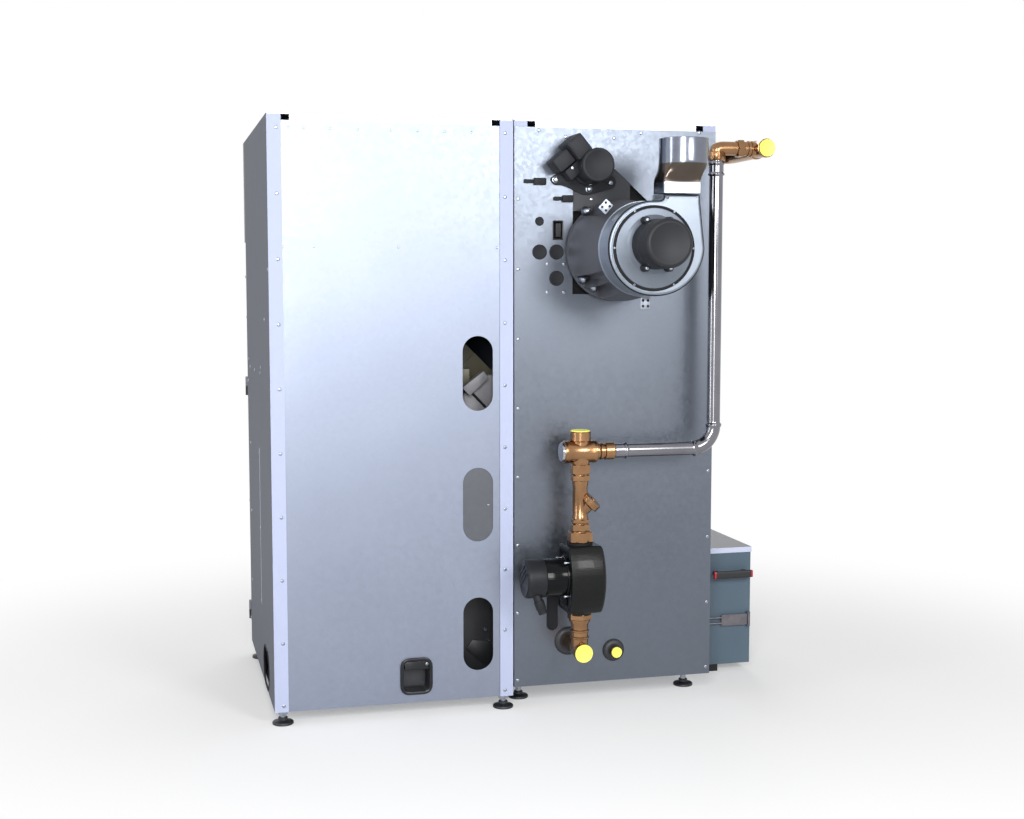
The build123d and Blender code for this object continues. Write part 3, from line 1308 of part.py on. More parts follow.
def make_fittings():
    """Bronze nuts, strainer, mixing valve, tees, the steel bypass pipe and the yellow caps."""
    port_low = pump_z - pump_length / 2
    port_high = pump_z + pump_length / 2
    nuts = [bored_hex(port_high, union_flats, union_height, mixing_bore_r)]
    z = port_high + union_height
    for height in nipple_heights:
        nuts.append(bored_hex(z, nipple_flats + height / 3, height - fit_gap, strainer_bore_r))
        z += height
    strainer_z0 = z - fit_gap
    strainer_z1 = strainer_z0 + strainer_high - strainer_low
    body = rod_z(strainer_z0, strainer_z1, group_x, group_y, strainer_r)
    start = Vector(group_x, group_y, strainer_z0 + branch_z - strainer_low)
    slant = Vector(-1, 0, 1).normalized()
    neck_end = start + slant * branch_length
    body += link(start, neck_end, branch_r)
    body += link(neck_end, neck_end + slant * branch_cap_thick, branch_cap_r)
    body -= rod_z(strainer_z0, strainer_z1, group_x, group_y, strainer_bore_r)
    z = strainer_z1
    for flats, height in zip(upper_nut_flats, upper_nut_heights):
        nuts.append(bored_hex(z, flats, height - fit_gap, strainer_bore_r))
        z += height
    valve_low = z - fit_gap
    nuts.append(bored_hex(port_low - union_low_height, union_low_flats, union_low_height, mixing_bore_r))

    valve = rod_x(-mixing_left, -mixing_right, group_y, mixing_z, mixing_r)
    valve += rod_z(valve_low, mixing_port_top, group_x, group_y, mixing_neck_r)
    collar_low = mixing_z + mixing_r + port_collar_gap
    valve += rod_z(collar_low, mixing_port_top, group_x, group_y, mixing_port_r)
    valve += rod_x(-mixing_right, -nipple_end, group_y, mixing_z, nipple_r)
    plane = Plane(origin=(-mixing_right, group_y, mixing_z), z_dir=(-1, 0, 0))
    valve += hexagon(plane, 2 * nipple_r + sheet, (nipple_end - mixing_right) / 2)
    valve += rod_x(-mixing_left, -mixing_left + mixing_cap_thick, group_y, mixing_z, mixing_cap_r)
    valve -= rod_z(valve_low, mixing_port_top, group_x, group_y, mixing_bore_r)
    valve -= rod_x(group_x, -nipple_end, group_y, mixing_z, mixing_bore_r)

    inner = pipe_r - pipe_wall
    low_end = riser_x + bend_r
    level = rod_x(-nipple_end, low_end, group_y, mixing_z, pipe_r)
    level -= rod_x(-nipple_end, low_end, group_y, mixing_z, inner)
    riser = rod_z(mixing_z + bend_r, riser_top, riser_x, group_y, pipe_r)
    riser -= rod_z(mixing_z + bend_r, riser_top, riser_x, group_y, inner)
    cut = Plane(origin=(low_end, group_y, mixing_z), x_dir=(0, 1, 0), z_dir=(-1, 0, 0))
    ring = cut * (Circle(pipe_r) - Circle(inner))
    bend = revolve(ring, axis=Axis((low_end, group_y, mixing_z + bend_r), (0, 1, 0)), revolution_arc=90)

    hex_plane = Plane(origin=(riser_x, group_y, riser_top))
    tee = hexagon(hex_plane, flow_hex_flats, flow_hex_height)
    tee += rod_z(riser_top + flow_hex_height, flow_z, riser_x, group_y, flow_r)
    tee += Pos(riser_x, group_y, flow_z) * Sphere(flow_r)
    tee += rod_x(riser_x, tee_x, group_y, flow_z, flow_r)
    tee += hexagon(Plane(origin=(-flow_nut_near, group_y, flow_z), z_dir=(-1, 0, 0)), flow_nut_flats,
                   flow_nut_far - flow_nut_near)
    tee += rod_y(outlet_y, tee_end_y, tee_x, flow_z, tee_r)
    tee += rod_y(tee_end_y - tee_collar_length, tee_end_y, tee_x, flow_z, tee_collar_r)
    tee += Pos(tee_x, outlet_y, flow_z) * Sphere(tee_r)
    tee += rod_x(tee_x, body_left, outlet_y, flow_z, tee_r)
    tee -= rod_z(riser_top, flow_z, riser_x, group_y, outlet_bore_r)
    tee -= rod_x(riser_x, tee_x, group_y, flow_z, outlet_bore_r)
    tee -= rod_y(outlet_y, tee_end_y, tee_x, flow_z, outlet_bore_r)
    tee -= rod_x(tee_x, body_left, outlet_y, flow_z, outlet_bore_r)

    branch_top = port_low - union_low_height
    back = rod_y(body_rear, tee_end_y, group_x, return_z, return_r)
    back += rod_z(return_z, branch_top, group_x, group_y, return_branch_r)
    back += rod_y(tee_end_y - tee_collar_length, tee_end_y, group_x, return_z, return_collar_r)
    for rise in return_bead_rises:
        bead_z = return_z + rise
        back += rod_z(bead_z, bead_z + return_bead, group_x, group_y, return_bead_r)
    back -= rod_y(body_rear, tee_end_y, group_x, return_z, return_bore_r)
    back -= rod_z(return_z, branch_top, group_x, group_y, return_bore_r)
    stub = rod_y(body_rear, drain_end_y, drain_x, drain_z, drain_r)
    stub -= rod_y(body_rear, drain_end_y, drain_x, drain_z, drain_bore_r)

    rosettes = []
    passed = ((group_x, return_z, rosette_r, return_r), (drain_x, drain_z, drain_rosette_r, drain_r))
    for x, z_mid, radius, hole in passed:
        disc = rod_y(0, rosette_thick, x, z_mid, radius)
        disc = fillet(disc.edges().group_by(Axis.Y)[-1], radius=rosette_thick / 2)
        rosettes.append(disc - rod_y(0, rosette_thick, x, z_mid, hole + hole_gap))
    caps = [
        rod_y(tee_end_y, tee_end_y + cap_thick, group_x, return_z, low_cap_r),
        rod_y(drain_end_y, drain_end_y + cap_thick, drain_x, drain_z, drain_cap_r),
        rod_z(mixing_port_top, mixing_port_top + cap_thick, group_x, group_y, top_cap_r),
        rod_y(tee_end_y, tee_end_y + cap_thick, tee_x, flow_z, tee_r),
    ]
    return {"union_nuts": nuts, "strainer": body, "mixing_valve": valve,
            "bypass_pipe": [level, bend, riser], "flow_tee": tee, "return_fittings": [back, stub],
            "wall_rosettes": rosettes, "port_caps": caps}


def make_ash_box():
    """The ash box on its runners, its lift-off lid, its grip bars and its draw latch."""
    y0 = -ash_front
    y1 = -ash_rear
    body = block(ash_in, ash_out, y0, y1, ash_bottom, ash_body_top)
    body -= block(ash_in - ash_wall, ash_out + ash_wall, y0 + ash_wall, y1 - ash_wall,
                  ash_bottom + ash_wall, ash_body_top)
    body -= rod_x(ash_in, ash_in - ash_wall, ash_auger_y, ash_auger_z, ash_hole_r)
    runner_x0 = ash_in - runner_side
    for near, inward in ((y1 - runner_inset, -1), (y0 + runner_inset, 1)):
        far = near + inward * runner_depth
        body += block(runner_x0, runner_x0 - runner_width, near, far, 0, ash_bottom)
    reach = ash_lid_gap + ash_lid_wall
    plate_low = ash_body_top + fit_gap
    rim_low = ash_lid_top - ash_lid_rim
    lid = block(ash_in, ash_out - reach, y0 - reach, y1 + reach, rim_low, ash_lid_top)
    lid -= block(ash_in, ash_out - ash_lid_gap, y0 - ash_lid_gap, y1 + ash_lid_gap, rim_low, plate_low)
    bar_middle = ash_out + bar_from_outside
    bar_low = bar_z - bar_height / 2
    bar_high = bar_z + bar_height / 2
    bar_near = bar_middle - bar_length / 2
    bar_far = bar_middle + bar_length / 2
    grips = []
    for side, face in ((1, y1), (-1, y0)):
        outer = face + side * (bar_stand + bar_thick)
        inner = face + side * bar_stand
        bar = block(bar_near, bar_far, inner, outer, bar_low, bar_high)
        for end in (bar_near, bar_far - bar_post):
            bar += block(end, end + bar_post, face, outer, bar_low, bar_high)
        grips.append(bar)
    latch_y = y1 + latch_stand + latch_barrel_r
    pivot_x = -latch_near + latch_barrel_r
    middle_z = (latch_low + latch_high) / 2
    ear_spans = ((latch_low - latch_ear, latch_low - fit_gap), (latch_high + fit_gap, latch_high + latch_ear))
    for low, high in ear_spans:
        body += block(-latch_near, -latch_near + 2 * latch_barrel_r, y1, latch_y, low, high)
        body += rod_z(low, high, pivot_x, latch_y, latch_barrel_r)
    body += rod_z(latch_low - latch_ear, latch_high + latch_ear, pivot_x, latch_y, latch_pin_r)
    lever = rod_z(latch_low, latch_high, pivot_x, latch_y, latch_barrel_r)
    lever += block(pivot_x, -latch_far, latch_y - latch_plate / 2, latch_y + latch_plate / 2,
                   latch_low, latch_high)
    for offset in (-rod_spread / 2, rod_spread / 2):
        lever += rod_x(-latch_far, -latch_far + rod_reach, latch_y, middle_z + offset, rod_r)
    lever -= rod_z(latch_low, latch_high, pivot_x, latch_y, latch_bore_r)
    return {"ash_box": body, "ash_lid": lid, "ash_grips": grips, "ash_latch": lever}


def make_screws():
    """Pan-head screws that hold the rear panels, as one group."""
    spots = []
    for index in range(feed_screw_count):
        z = feed_screw_low + feed_screw_step * index
        spots.append((feed_in + feed_screw_inset, z))
        spots.append((feed_out - feed_screw_inset, z))
    for index in range(boiler_screw_count):
        z = boiler_screw_low + boiler_screw_step * index
        spots.append((boiler_in - boiler_screw_inset, z))
        spots.append((boiler_out + boiler_screw_inset, z))
    screws = []
    for x, z in spots:
        head = rod_y(0, screw_head_height, x, z, screw_head_r)
        screws.append(fillet(head.edges().group_by(Axis.Y)[-1], radius=screw_head_height / 2))
    return {"fasteners": screws}


def gather(value):
    """All solids of a shape or a list of shapes."""
    items = value if isinstance(value, list) else [value]
    return [solid for item in items for solid in item.solids()]


def build():
    """Every node's solids, with the origin under the middle of the whole machine."""
    makers = (make_casings, make_feed_rear, make_front, make_feet, make_hopper, make_feed_drive,
              make_turbine, make_boiler_body, make_insulation, make_burner, make_cleaning, make_boiler_rear,
              make_fan, make_flue, make_pump, make_fittings, make_ash_box, make_screws)
    nodes = {}
    for maker in makers:
        for name, value in maker().items():
            nodes.setdefault(name, []).extend(gather(value))
    boxes = [solid.bounding_box() for solids in nodes.values() for solid in solids]
    middle_x = (min(box.min.X for box in boxes) + max(box.max.X for box in boxes)) / 2
    middle_y = (min(box.min.Y for box in boxes) + max(box.max.Y for box in boxes)) / 2
    floor = min(box.min.Z for box in boxes)
    shift = Pos(-middle_x, -middle_y, -floor)
    print("shift", -middle_x, -middle_y, -floor)
    return {name: [shift * solid for solid in solids] for name, solids in nodes.items()}


os.makedirs("parts", exist_ok=True)
for name, solids in build().items():
    shape = solids[0] if len(solids) == 1 else Compound(children=solids)
    export_step(shape, os.path.join("parts", name + ".step"))
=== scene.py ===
import bmesh
import bpy
import numpy as np
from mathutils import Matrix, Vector


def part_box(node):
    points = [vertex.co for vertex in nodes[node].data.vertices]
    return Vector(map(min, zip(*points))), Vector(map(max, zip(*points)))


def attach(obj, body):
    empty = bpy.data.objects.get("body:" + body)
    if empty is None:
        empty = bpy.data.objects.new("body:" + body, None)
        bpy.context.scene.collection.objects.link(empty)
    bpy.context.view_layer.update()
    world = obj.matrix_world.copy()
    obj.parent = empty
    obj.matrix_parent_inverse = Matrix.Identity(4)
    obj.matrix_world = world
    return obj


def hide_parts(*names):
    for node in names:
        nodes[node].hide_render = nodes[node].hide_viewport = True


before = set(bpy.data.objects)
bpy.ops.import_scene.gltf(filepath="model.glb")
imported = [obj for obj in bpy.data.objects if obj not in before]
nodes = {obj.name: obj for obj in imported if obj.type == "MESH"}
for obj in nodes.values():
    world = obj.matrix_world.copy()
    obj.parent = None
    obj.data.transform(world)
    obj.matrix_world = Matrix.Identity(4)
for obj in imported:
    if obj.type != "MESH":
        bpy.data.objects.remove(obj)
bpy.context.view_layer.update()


# The view: the machine's back, a little from the feed unit's side and from just under its top.
# Sizes here and below are millimetres from the gap between the cabinets, the rear panels and the floor.
feed_side_x = 624.5
middle_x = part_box("feed_outer_side")[1].x * 1000 - feed_side_x
rear_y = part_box("boiler_rear_panel")[1].y * 1000


def spot(x, y, z):
    """A place in millimetres from the cabinet gap, the rear panels and the floor, as metres in the frame."""
    return np.stack(np.broadcast_arrays(x + middle_x, y + rear_y, z), axis=-1).astype(float) / 1000


sensor_width = 36
focal_pixels = 1425.7
image_pixels = 1024
camera_data = bpy.data.cameras.new("camera")
camera_data.sensor_width = sensor_width
camera_data.lens = sensor_width * focal_pixels / image_pixels
camera = bpy.data.objects.new("camera", camera_data)
bpy.context.scene.collection.objects.link(camera)
yaw, pitch = 0.2539, 0.0877
look = Vector((-np.sin(yaw) * np.cos(pitch), -np.cos(yaw) * np.cos(pitch), -np.sin(pitch)))
camera.location = Vector(spot(929.9, 3565.8, 1117.0))
camera.rotation_euler = look.to_track_quat("-Z", "Y").to_euler()
bpy.context.scene.camera = camera
bpy.context.scene.view_settings.view_transform = "Standard"


# The studio: a pale seamless floor and a white surround. Four lamps near the camera lay soft
# highlights on the rear sheets, two light the feed unit's side and a broad one the front.
def tone(code):
    """An sRGB colour such as #8090A0 as the linear colour that the shaders read."""
    parts = np.array([int(code[i:i + 2], 16) for i in (1, 3, 5)]) / 255
    linear = np.where(parts <= 0.04045, parts / 12.92, ((parts + 0.055) / 1.055) ** 2.4)
    return (*linear.tolist(), 1.0)


def node(tree, kind, links=None, **settings):
    """Adds one shader node; settings are its own properties, links are values or sockets for its inputs."""
    new = tree.nodes.new(kind)
    for name, value in settings.items():
        setattr(new, name, value)
    for name, value in (links or {}).items():
        if isinstance(value, bpy.types.NodeSocket):
            tree.links.new(value, new.inputs[name])
        else:
            new.inputs[name].default_value = value
    return new


def fresh(name):
    """An empty node material and the output it feeds."""
    made = bpy.data.materials.new(name)
    made.use_nodes = True
    made.node_tree.nodes.clear()
    return made, made.node_tree, node(made.node_tree, "ShaderNodeOutputMaterial")


def direct_ray(tree):
    """1 for what the camera sees straight, in a reflection or through glass, and 0 for every other ray."""
    ray = node(tree, "ShaderNodeLightPath")
    share = ray.outputs["Is Camera Ray"]
    for other in ("Is Glossy Ray", "Is Transmission Ray"):
        greater = node(tree, "ShaderNodeMath", {0: share, 1: ray.outputs[other]}, operation="MAXIMUM")
        share = greater.outputs[0]
    return share


world = bpy.data.worlds.new("studio")
bpy.context.scene.world = world
world.use_nodes = True
sky = world.node_tree
sky.nodes.clear()
sky_strength = node(sky, "ShaderNodeMapRange", {"Value": direct_ray(sky), "To Min": 0.27, "To Max": 1.0})
sky_light = node(sky, "ShaderNodeBackground", {"Color": tone("#FFFFFF"), "Strength": sky_strength.outputs[0]})
node(sky, "ShaderNodeOutputWorld", {"Surface": sky_light.outputs[0]})

for name, place, aim, watts, wide, high in (
        ("key_lamp", (1000, 3300, 1850), (720, 0, 1000), 84, 1.0, 1.6),
        ("low_lamp", (760, 3350, 950), (600, 0, 950), 11, 0.6, 1.2),
        ("strip_lamp", (3300, 900, 1400), (0, 100, 900), 22, 0.35, 2.2),
        ("top_lamp", (-1050, 3300, 1960), (-330, 0, 1120), 49, 0.9, 1.0),
        ("fill_lamp", (-1550, 3000, 1800), (-300, 0, 800), 4, 0.5, 1.5),
        ("side_lamp", (3200, -900, 2200), (600, -400, 800), 5, 2.0, 2.0),
        ("front_lamp", (-500, -3600, 2400), (0, -700, 900), 55, 2.6, 2.2)):
    lamp_data = bpy.data.lights.new(name, "AREA")
    lamp_data.shape = "RECTANGLE"
    lamp_data.size = wide
    lamp_data.size_y = high
    lamp_data.energy = watts
    lamp = bpy.data.objects.new(name, lamp_data)
    bpy.context.scene.collection.objects.link(lamp)
    lamp.location = Vector(spot(*place))
    lamp.rotation_euler = (Vector(spot(*aim)) - lamp.location).to_track_quat("-Z", "Y").to_euler()

floor_reach = 30
floor_mesh = bpy.data.meshes.new("studio_floor")
floor_mesh.from_pydata([(-floor_reach, -floor_reach, 0), (floor_reach, -floor_reach, 0),
                        (floor_reach, floor_reach, 0), (-floor_reach, floor_reach, 0)], [], [(0, 1, 2, 3)])
floor_object = bpy.data.objects.new("studio_floor", floor_mesh)
bpy.context.scene.collection.objects.link(floor_object)
floor_paint, tree, out = fresh("matt_white_floor_paint")
matt = node(tree, "ShaderNodeBsdfPrincipled", {"Base Color": tone("#FBFBFB"), "Roughness": 0.9})
floor_place = node(tree, "ShaderNodeTexCoord")
distance = node(tree, "ShaderNodeVectorMath", {0: floor_place.outputs["Object"]}, operation="LENGTH")
paling = node(tree, "ShaderNodeMapRange", {"Value": distance.outputs["Value"], "From Min": 0.9,
              "From Max": 2.4, "To Min": 0.3, "To Max": 1.0}, interpolation_type="SMOOTHSTEP")
whitening = node(tree, "ShaderNodeMath", {0: paling.outputs[0], 1: direct_ray(tree)}, operation="MULTIPLY")
white_glow = node(tree, "ShaderNodeEmission", {"Color": (1.0, 1.0, 1.0, 1.0), "Strength": 1.0})
floor_look = node(tree, "ShaderNodeMixShader", {0: whitening.outputs[0], 1: matt.outputs[0],
                  2: white_glow.outputs[0]})
tree.links.new(floor_look.outputs[0], out.inputs[0])
floor_mesh.materials.append(floor_paint)


# The cabinets' sheets: zinc-coated steel, laser cut, folded on a press brake and left bare.
# The coating's crystals and the fine rolling lines give it a cool satin sheen.
def object_place(tree, scale=(1, 1, 1)):
    """Object coordinates in metres, stretched by scale, for a pattern with a real size."""
    place = node(tree, "ShaderNodeTexCoord")
    return node(tree, "ShaderNodeMapping", {0: place.outputs["Object"], "Scale": scale}).outputs[0]


def blended(tree, share, first, second):
    """A colour between two, each a hex code or another node's colour, by a share from 0 to 1."""
    first, second = (tone(end) if isinstance(end, str) else end for end in (first, second))
    return node(tree, "ShaderNodeMix", {0: share, 6: first, 7: second}, data_type="RGBA").outputs[2]


def rolled_zinc(name, dark, pale, metallic, roughness, crystal_mm=9):
    """Zinc-coated sheet: crystals of the given size over soft broad changes, with upright rolling lines."""
    made, tree, out = fresh(name)
    place = object_place(tree)
    crystals = node(tree, "ShaderNodeTexVoronoi", {"Vector": place, "Scale": 1000 / crystal_mm})
    cell = node(tree, "ShaderNodeSeparateColor", {0: crystals.outputs["Color"]})
    broad = node(tree, "ShaderNodeTexNoise", {"Vector": place, "Scale": 2.4, "Detail": 2.0})
    both = node(tree, "ShaderNodeMath", {0: cell.outputs[0], 1: 0.12, 2: broad.outputs[0]},
                operation="MULTIPLY_ADD")
    share = node(tree, "ShaderNodeMapRange", {"Value": both.outputs[0], "From Min": 0.3, "From Max": 0.8})
    rough = node(tree, "ShaderNodeMapRange", {"Value": cell.outputs[1], "To Min": roughness - 0.03,
                 "To Max": roughness + 0.03})
    lines = node(tree, "ShaderNodeTexNoise", {"Vector": object_place(tree, (700, 700, 9)), "Scale": 1.0})
    relief = node(tree, "ShaderNodeBump", {"Strength": 0.05, "Distance": 0.0002, "Height": lines.outputs[0]})
    skin = node(tree, "ShaderNodeBsdfPrincipled", {"Base Color": blended(tree, share.outputs[0], dark, pale),
                "Metallic": metallic, "Roughness": rough.outputs[0], "Normal": relief.outputs[0]})
    tree.links.new(skin.outputs[0], out.inputs[0])
    return made


def dress(finish, *names):
    """Gives one finish to whole CAD nodes."""
    for name in names:
        nodes[name].data.materials.clear()
        nodes[name].data.materials.append(finish)


rear_zinc = rolled_zinc("zinc_coated_steel", "#848B9B", "#8B92A2", 1.0, 0.44)
dress(rear_zinc, "feed_rear_panel")
# The boiler panel is the same zinc-coated sheet as the feed panel, painted darker: painted shade, where the
# lamps light it less.
shaded_boiler_zinc = rolled_zinc("zinc_coated_steel_darkened_as_painted_shade", "#676D77", "#6D737D", 1.0, 0.37)
dress(shaded_boiler_zinc, "boiler_rear_panel")
cover_zinc = rolled_zinc("zinc_coated_cover_steel", "#B4BAC6", "#C0C6D2", 0.8, 0.34)
dress(cover_zinc, "feed_top_cover", "boiler_top_cover")
tray_zinc = rolled_zinc("zinc_coated_tray_steel", "#8F949C", "#A2A7AF", 0.8, 0.4)
dress(tray_zinc, "feed_base", "boiler_base")
slot_zinc = rolled_zinc("zinc_coated_slot_cover_steel", "#585A60", "#606268", 0.8, 0.45)
dress(slot_zinc, "slot_cover")


# The side sheets: the same steel with one grey powder coat. Its colour is painted by which way a face looks:
# dark grey outside as painted shade, pale on the narrow returns that hold the rear panels as painted light.
# Fine orange peel, soft gloss.
def clouded(name, dark, pale, roughness, spread, cloud, grain_mm, relief, detail=2.0, worked=(1, 1, 1),
            painted_light_rear_colour=None, settings=None):
    """A skin that drifts between two colours, and its roughness by a spread, with a soft noise (scale per
    metre, detail). A noise of the grain size, stretched the way the piece was worked, is its relief
    (strength, depth in metres). Faces that look back may get a colour of their own, which paints light on
    them where they face the lamps."""
    made, tree, out = fresh(name)
    drift = node(tree, "ShaderNodeTexNoise", {"Vector": object_place(tree), "Scale": cloud[0],
                 "Detail": cloud[1]})
    share = node(tree, "ShaderNodeMapRange", {"Value": drift.outputs[0], "From Min": 0.3, "From Max": 0.7})
    colour = blended(tree, share.outputs[0], dark, pale)
    if painted_light_rear_colour:
        facing = node(tree, "ShaderNodeNewGeometry")
        normal = node(tree, "ShaderNodeSeparateXYZ", {0: facing.outputs["True Normal"]})
        rear = node(tree, "ShaderNodeMath", {0: normal.outputs[1], 1: 0.9}, operation="GREATER_THAN")
        colour = blended(tree, rear.outputs[0], colour, painted_light_rear_colour)
    place = object_place(tree, tuple(1000 / grain_mm * stretch for stretch in worked))
    grain = node(tree, "ShaderNodeTexNoise", {"Vector": place, "Scale": 1.0, "Detail": detail})
    bump = node(tree, "ShaderNodeBump", {"Strength": relief[0], "Distance": relief[1],
                "Height": grain.outputs[0]})
    rough = node(tree, "ShaderNodeMapRange", {"Value": drift.outputs[0], "To Min": roughness - spread,
                 "To Max": roughness + spread})
    skin = node(tree, "ShaderNodeBsdfPrincipled", {"Base Color": colour, "Roughness": rough.outputs[0],
                "Normal": bump.outputs[0], **(settings or {})})
    tree.links.new(skin.outputs[0], out.inputs[0])
    return made


def powder_coat(name, dark, pale, roughness, peel_mm=0.9, coat=0.0, shine=0.5, painted_light_rear_colour=None,
                relief=(0.12, 0.0001)):
    """Powder coat or lacquer on iron and steel: a faint orange peel of the given size."""
    return clouded(name, dark, pale, roughness, 0.04, (3.5, 3.0), peel_mm, relief, 1.0,
                   painted_light_rear_colour=painted_light_rear_colour, settings={"Specular IOR Level": shine, "Coat Weight": coat})


# One coat in two colours: the dark grey outer faces are painted shade, and the pale returns that face back
# are painted light.
side_coat = powder_coat("grey_powder_coat", "#424755", "#484D5A", 0.55, shine=0.3, painted_light_rear_colour="#AAB2CC")
dress(side_coat, "feed_outer_side", "feed_inner_side", "boiler_inner_side", "boiler_outer_side")
door_coat = powder_coat("grey_door_powder_coat", "#6E6E78", "#757580", 0.45)
dress(door_coat, "feed_door", "boiler_door")
hinge_coat = powder_coat("black_hinge_powder_coat", "#1C1D21", "#24252A", 0.5, shine=0.3)
dress(hinge_coat, "hinge_brackets")


# Panel screws: pressed pan heads with a six-lobe recess, zinc plated, driven into the folded returns.
# All numbers of a shape are millimetres; a piece is a list of grids of points, each worked out as one array.
sideward, backward, upward = (1, 0, 0), (0, 1, 0), (0, 0, 1)


def across(axis):
    """An axis of length 1, and two directions at right angles to it and to each other."""
    axis = np.asarray(axis, float) / np.linalg.norm(axis)
    helper = np.array([0.0, 0.0, 1.0]) if abs(axis[2]) < 0.9 else np.array([1.0, 0.0, 0.0])
    side = np.cross(helper, axis)
    side /= np.linalg.norm(side)
    return axis, side, np.cross(axis, side)


def turned(rows, centre, axis, steps=64, limit=None):
    """Each row is a height along the axis and a radius; the row is carried once round the axis.
    limit, a radius for each angle, cuts the round shape back to a hexagon or lobes."""
    rows = np.asarray(rows, float)
    axis, side, up = across(axis)
    angle = np.linspace(0, 2 * np.pi, steps, endpoint=False)
    radius = np.broadcast_to(rows[:, 1, None], (len(rows), steps))
    if limit is not None:
        radius = np.minimum(radius, limit(angle))
    around = np.cos(angle)[:, None] * side + np.sin(angle)[:, None] * up
    place = np.asarray(centre, float) + rows[:, 0, None, None] * axis + radius[:, :, None] * around
    return spot(*np.moveaxis(place, -1, 0))


def piece(name, grids, finish, replaced=None, sharp=40, body="cabinets"):
    """Joins each grid's rows into four-sided faces round its columns, closes both ends, and makes one mesh.
    It rides on a body, wears the finish, and stands for the CAD node that replaced names."""
    points, faces, first = [], [], 0
    for grid in grids:
        rows, columns = grid.shape[:2]
        index = np.arange(rows * columns).reshape(rows, columns) + first
        beside = np.roll(index, -1, axis=1)
        quads = np.stack([index[:-1], beside[:-1], beside[1:], index[1:]], axis=-1).reshape(-1, 4)
        faces += quads.tolist()
        if not np.allclose(grid[0], grid[-1]):
            faces += [index[0][::-1].tolist(), index[-1].tolist()]
        points.append(grid.reshape(-1, 3))
        first += rows * columns
    mesh = bpy.data.meshes.new(name)
    mesh.from_pydata(np.concatenate(points).tolist(), [], faces)
    work = bmesh.new()
    work.from_mesh(mesh)
    bmesh.ops.remove_doubles(work, verts=work.verts, dist=1e-6)
    bmesh.ops.dissolve_degenerate(work, edges=work.edges, dist=1e-6)
    bmesh.ops.recalc_face_normals(work, faces=work.faces)
    work.to_mesh(mesh)
    work.free()
    mesh.polygons.foreach_set("use_smooth", np.ones(len(mesh.polygons), bool))
    mesh.set_sharp_from_angle(angle=np.radians(sharp))
    mesh.materials.append(finish)
    made = bpy.data.objects.new(name, mesh)
    bpy.context.scene.collection.objects.link(made)
    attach(made, body)
    if replaced:
        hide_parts(replaced)


def plated_steel(name, dark, pale, roughness, grain_mm=1.2):
    """Bright zinc plate: a thin metal skin with faint clouding and a little grain."""
    return clouded(name, dark, pale, roughness, 0.05, (60.0, 2.0), grain_mm, (0.1, 0.0002),
                   settings={"Metallic": 1.0})


def pan_screw(place, axis=backward, seat=0.0, high=1.0, wide=1.0, steps=16):
    """The pan head's rows, made higher and wider by two shares, turned from a seat height along the axis."""
    rows = [(0, 4.6), (0.5, 4.6), (1.2, 4.0), (1.7, 2.9), (1.8, 2.0), (1.8, 1.7), (0.7, 1.5), (0.7, 0)]
    return turned(np.array(rows) * [high, wide] + [seat, 0], place, axis, steps)


screw_steel = plated_steel("zinc_plated_screw_steel", "#8F959F", "#A4AAB5", 0.3)
panel_spots = [(x, z) for x in (601.5, 23.5) for z in 51 + 161 * np.arange(10)]
panel_spots += [(x, z) for x in (-11.5, -542.5) for z in 75 + 180 * np.arange(8)]
panel_spots += [(-66, 1510), (-138, 1495), (-269, 1495), (-343, 1510), (-506, 1515), (-90, 1169),
                (-134.6, 1169), (-90, 1096), (-134.6, 1096)]
piece("panel_screws", [pan_screw((x, 0, z)) for x, z in panel_spots], screw_steel, "fasteners")

side_spots = [(-366, 657), (-366, 450), (-366, 246), (-681, 652), (-760, 468), (-685, 449), (-689, 240),
              (-778, 105), (-790, 1139), (-14, 1154), (-762, 1019), (-140, 1027), (-699, 898), (-660, 877),
              (-489, 877), (-280, 896), (-298, 880), (-740, 832)]
piece("side_panel_screws", [pan_screw((feed_side_x, y, z), sideward) for y, z in side_spots], screw_steel)

plain_steel = plated_steel("pressed_dimple_steel", "#98A2B0", "#A8B2C0", 0.35)
dimple_spots = [(x, 1500) for x in (572, 533, 469, 400, 320, 250, 180, 110)]
dimple_spots += [(x, 1210) for x in (588, 512, 300, 44)]
dimple_rows = [(0, 3.2), (0.5, 2.8), (0.9, 1.6), (1.0, 0)]
dimples = [turned(dimple_rows, (x, -2, z), backward, 12) for x, z in dimple_spots]
piece("pressed_panel_dimples", dimples, plain_steel)


# Levelling feet: a ribbed black polyamide disc, a zinc-plated stud and two hexagon nuts, one each
# side of the base tray. The discs are moulded, so they have rounded rims and a satin skin.
def six_flats(width):
    """The radius of a hexagon at each angle, from its width across flats."""
    return lambda angle: width / 2 / np.cos((angle % (np.pi / 3)) - np.pi / 6)


def moulded(name, dark, pale, roughness, grain_mm=0.8, grain=0.15, coat=0.0, shine=0.5):
    """Moulded plastic or rubber: eroded grain of the given size and slight cloudiness."""
    return clouded(name, dark, pale, roughness, 0.05, (25.0, 3.0), grain_mm, (grain, 0.0002),
                   settings={"Specular IOR Level": shine, "Coat Weight": coat})


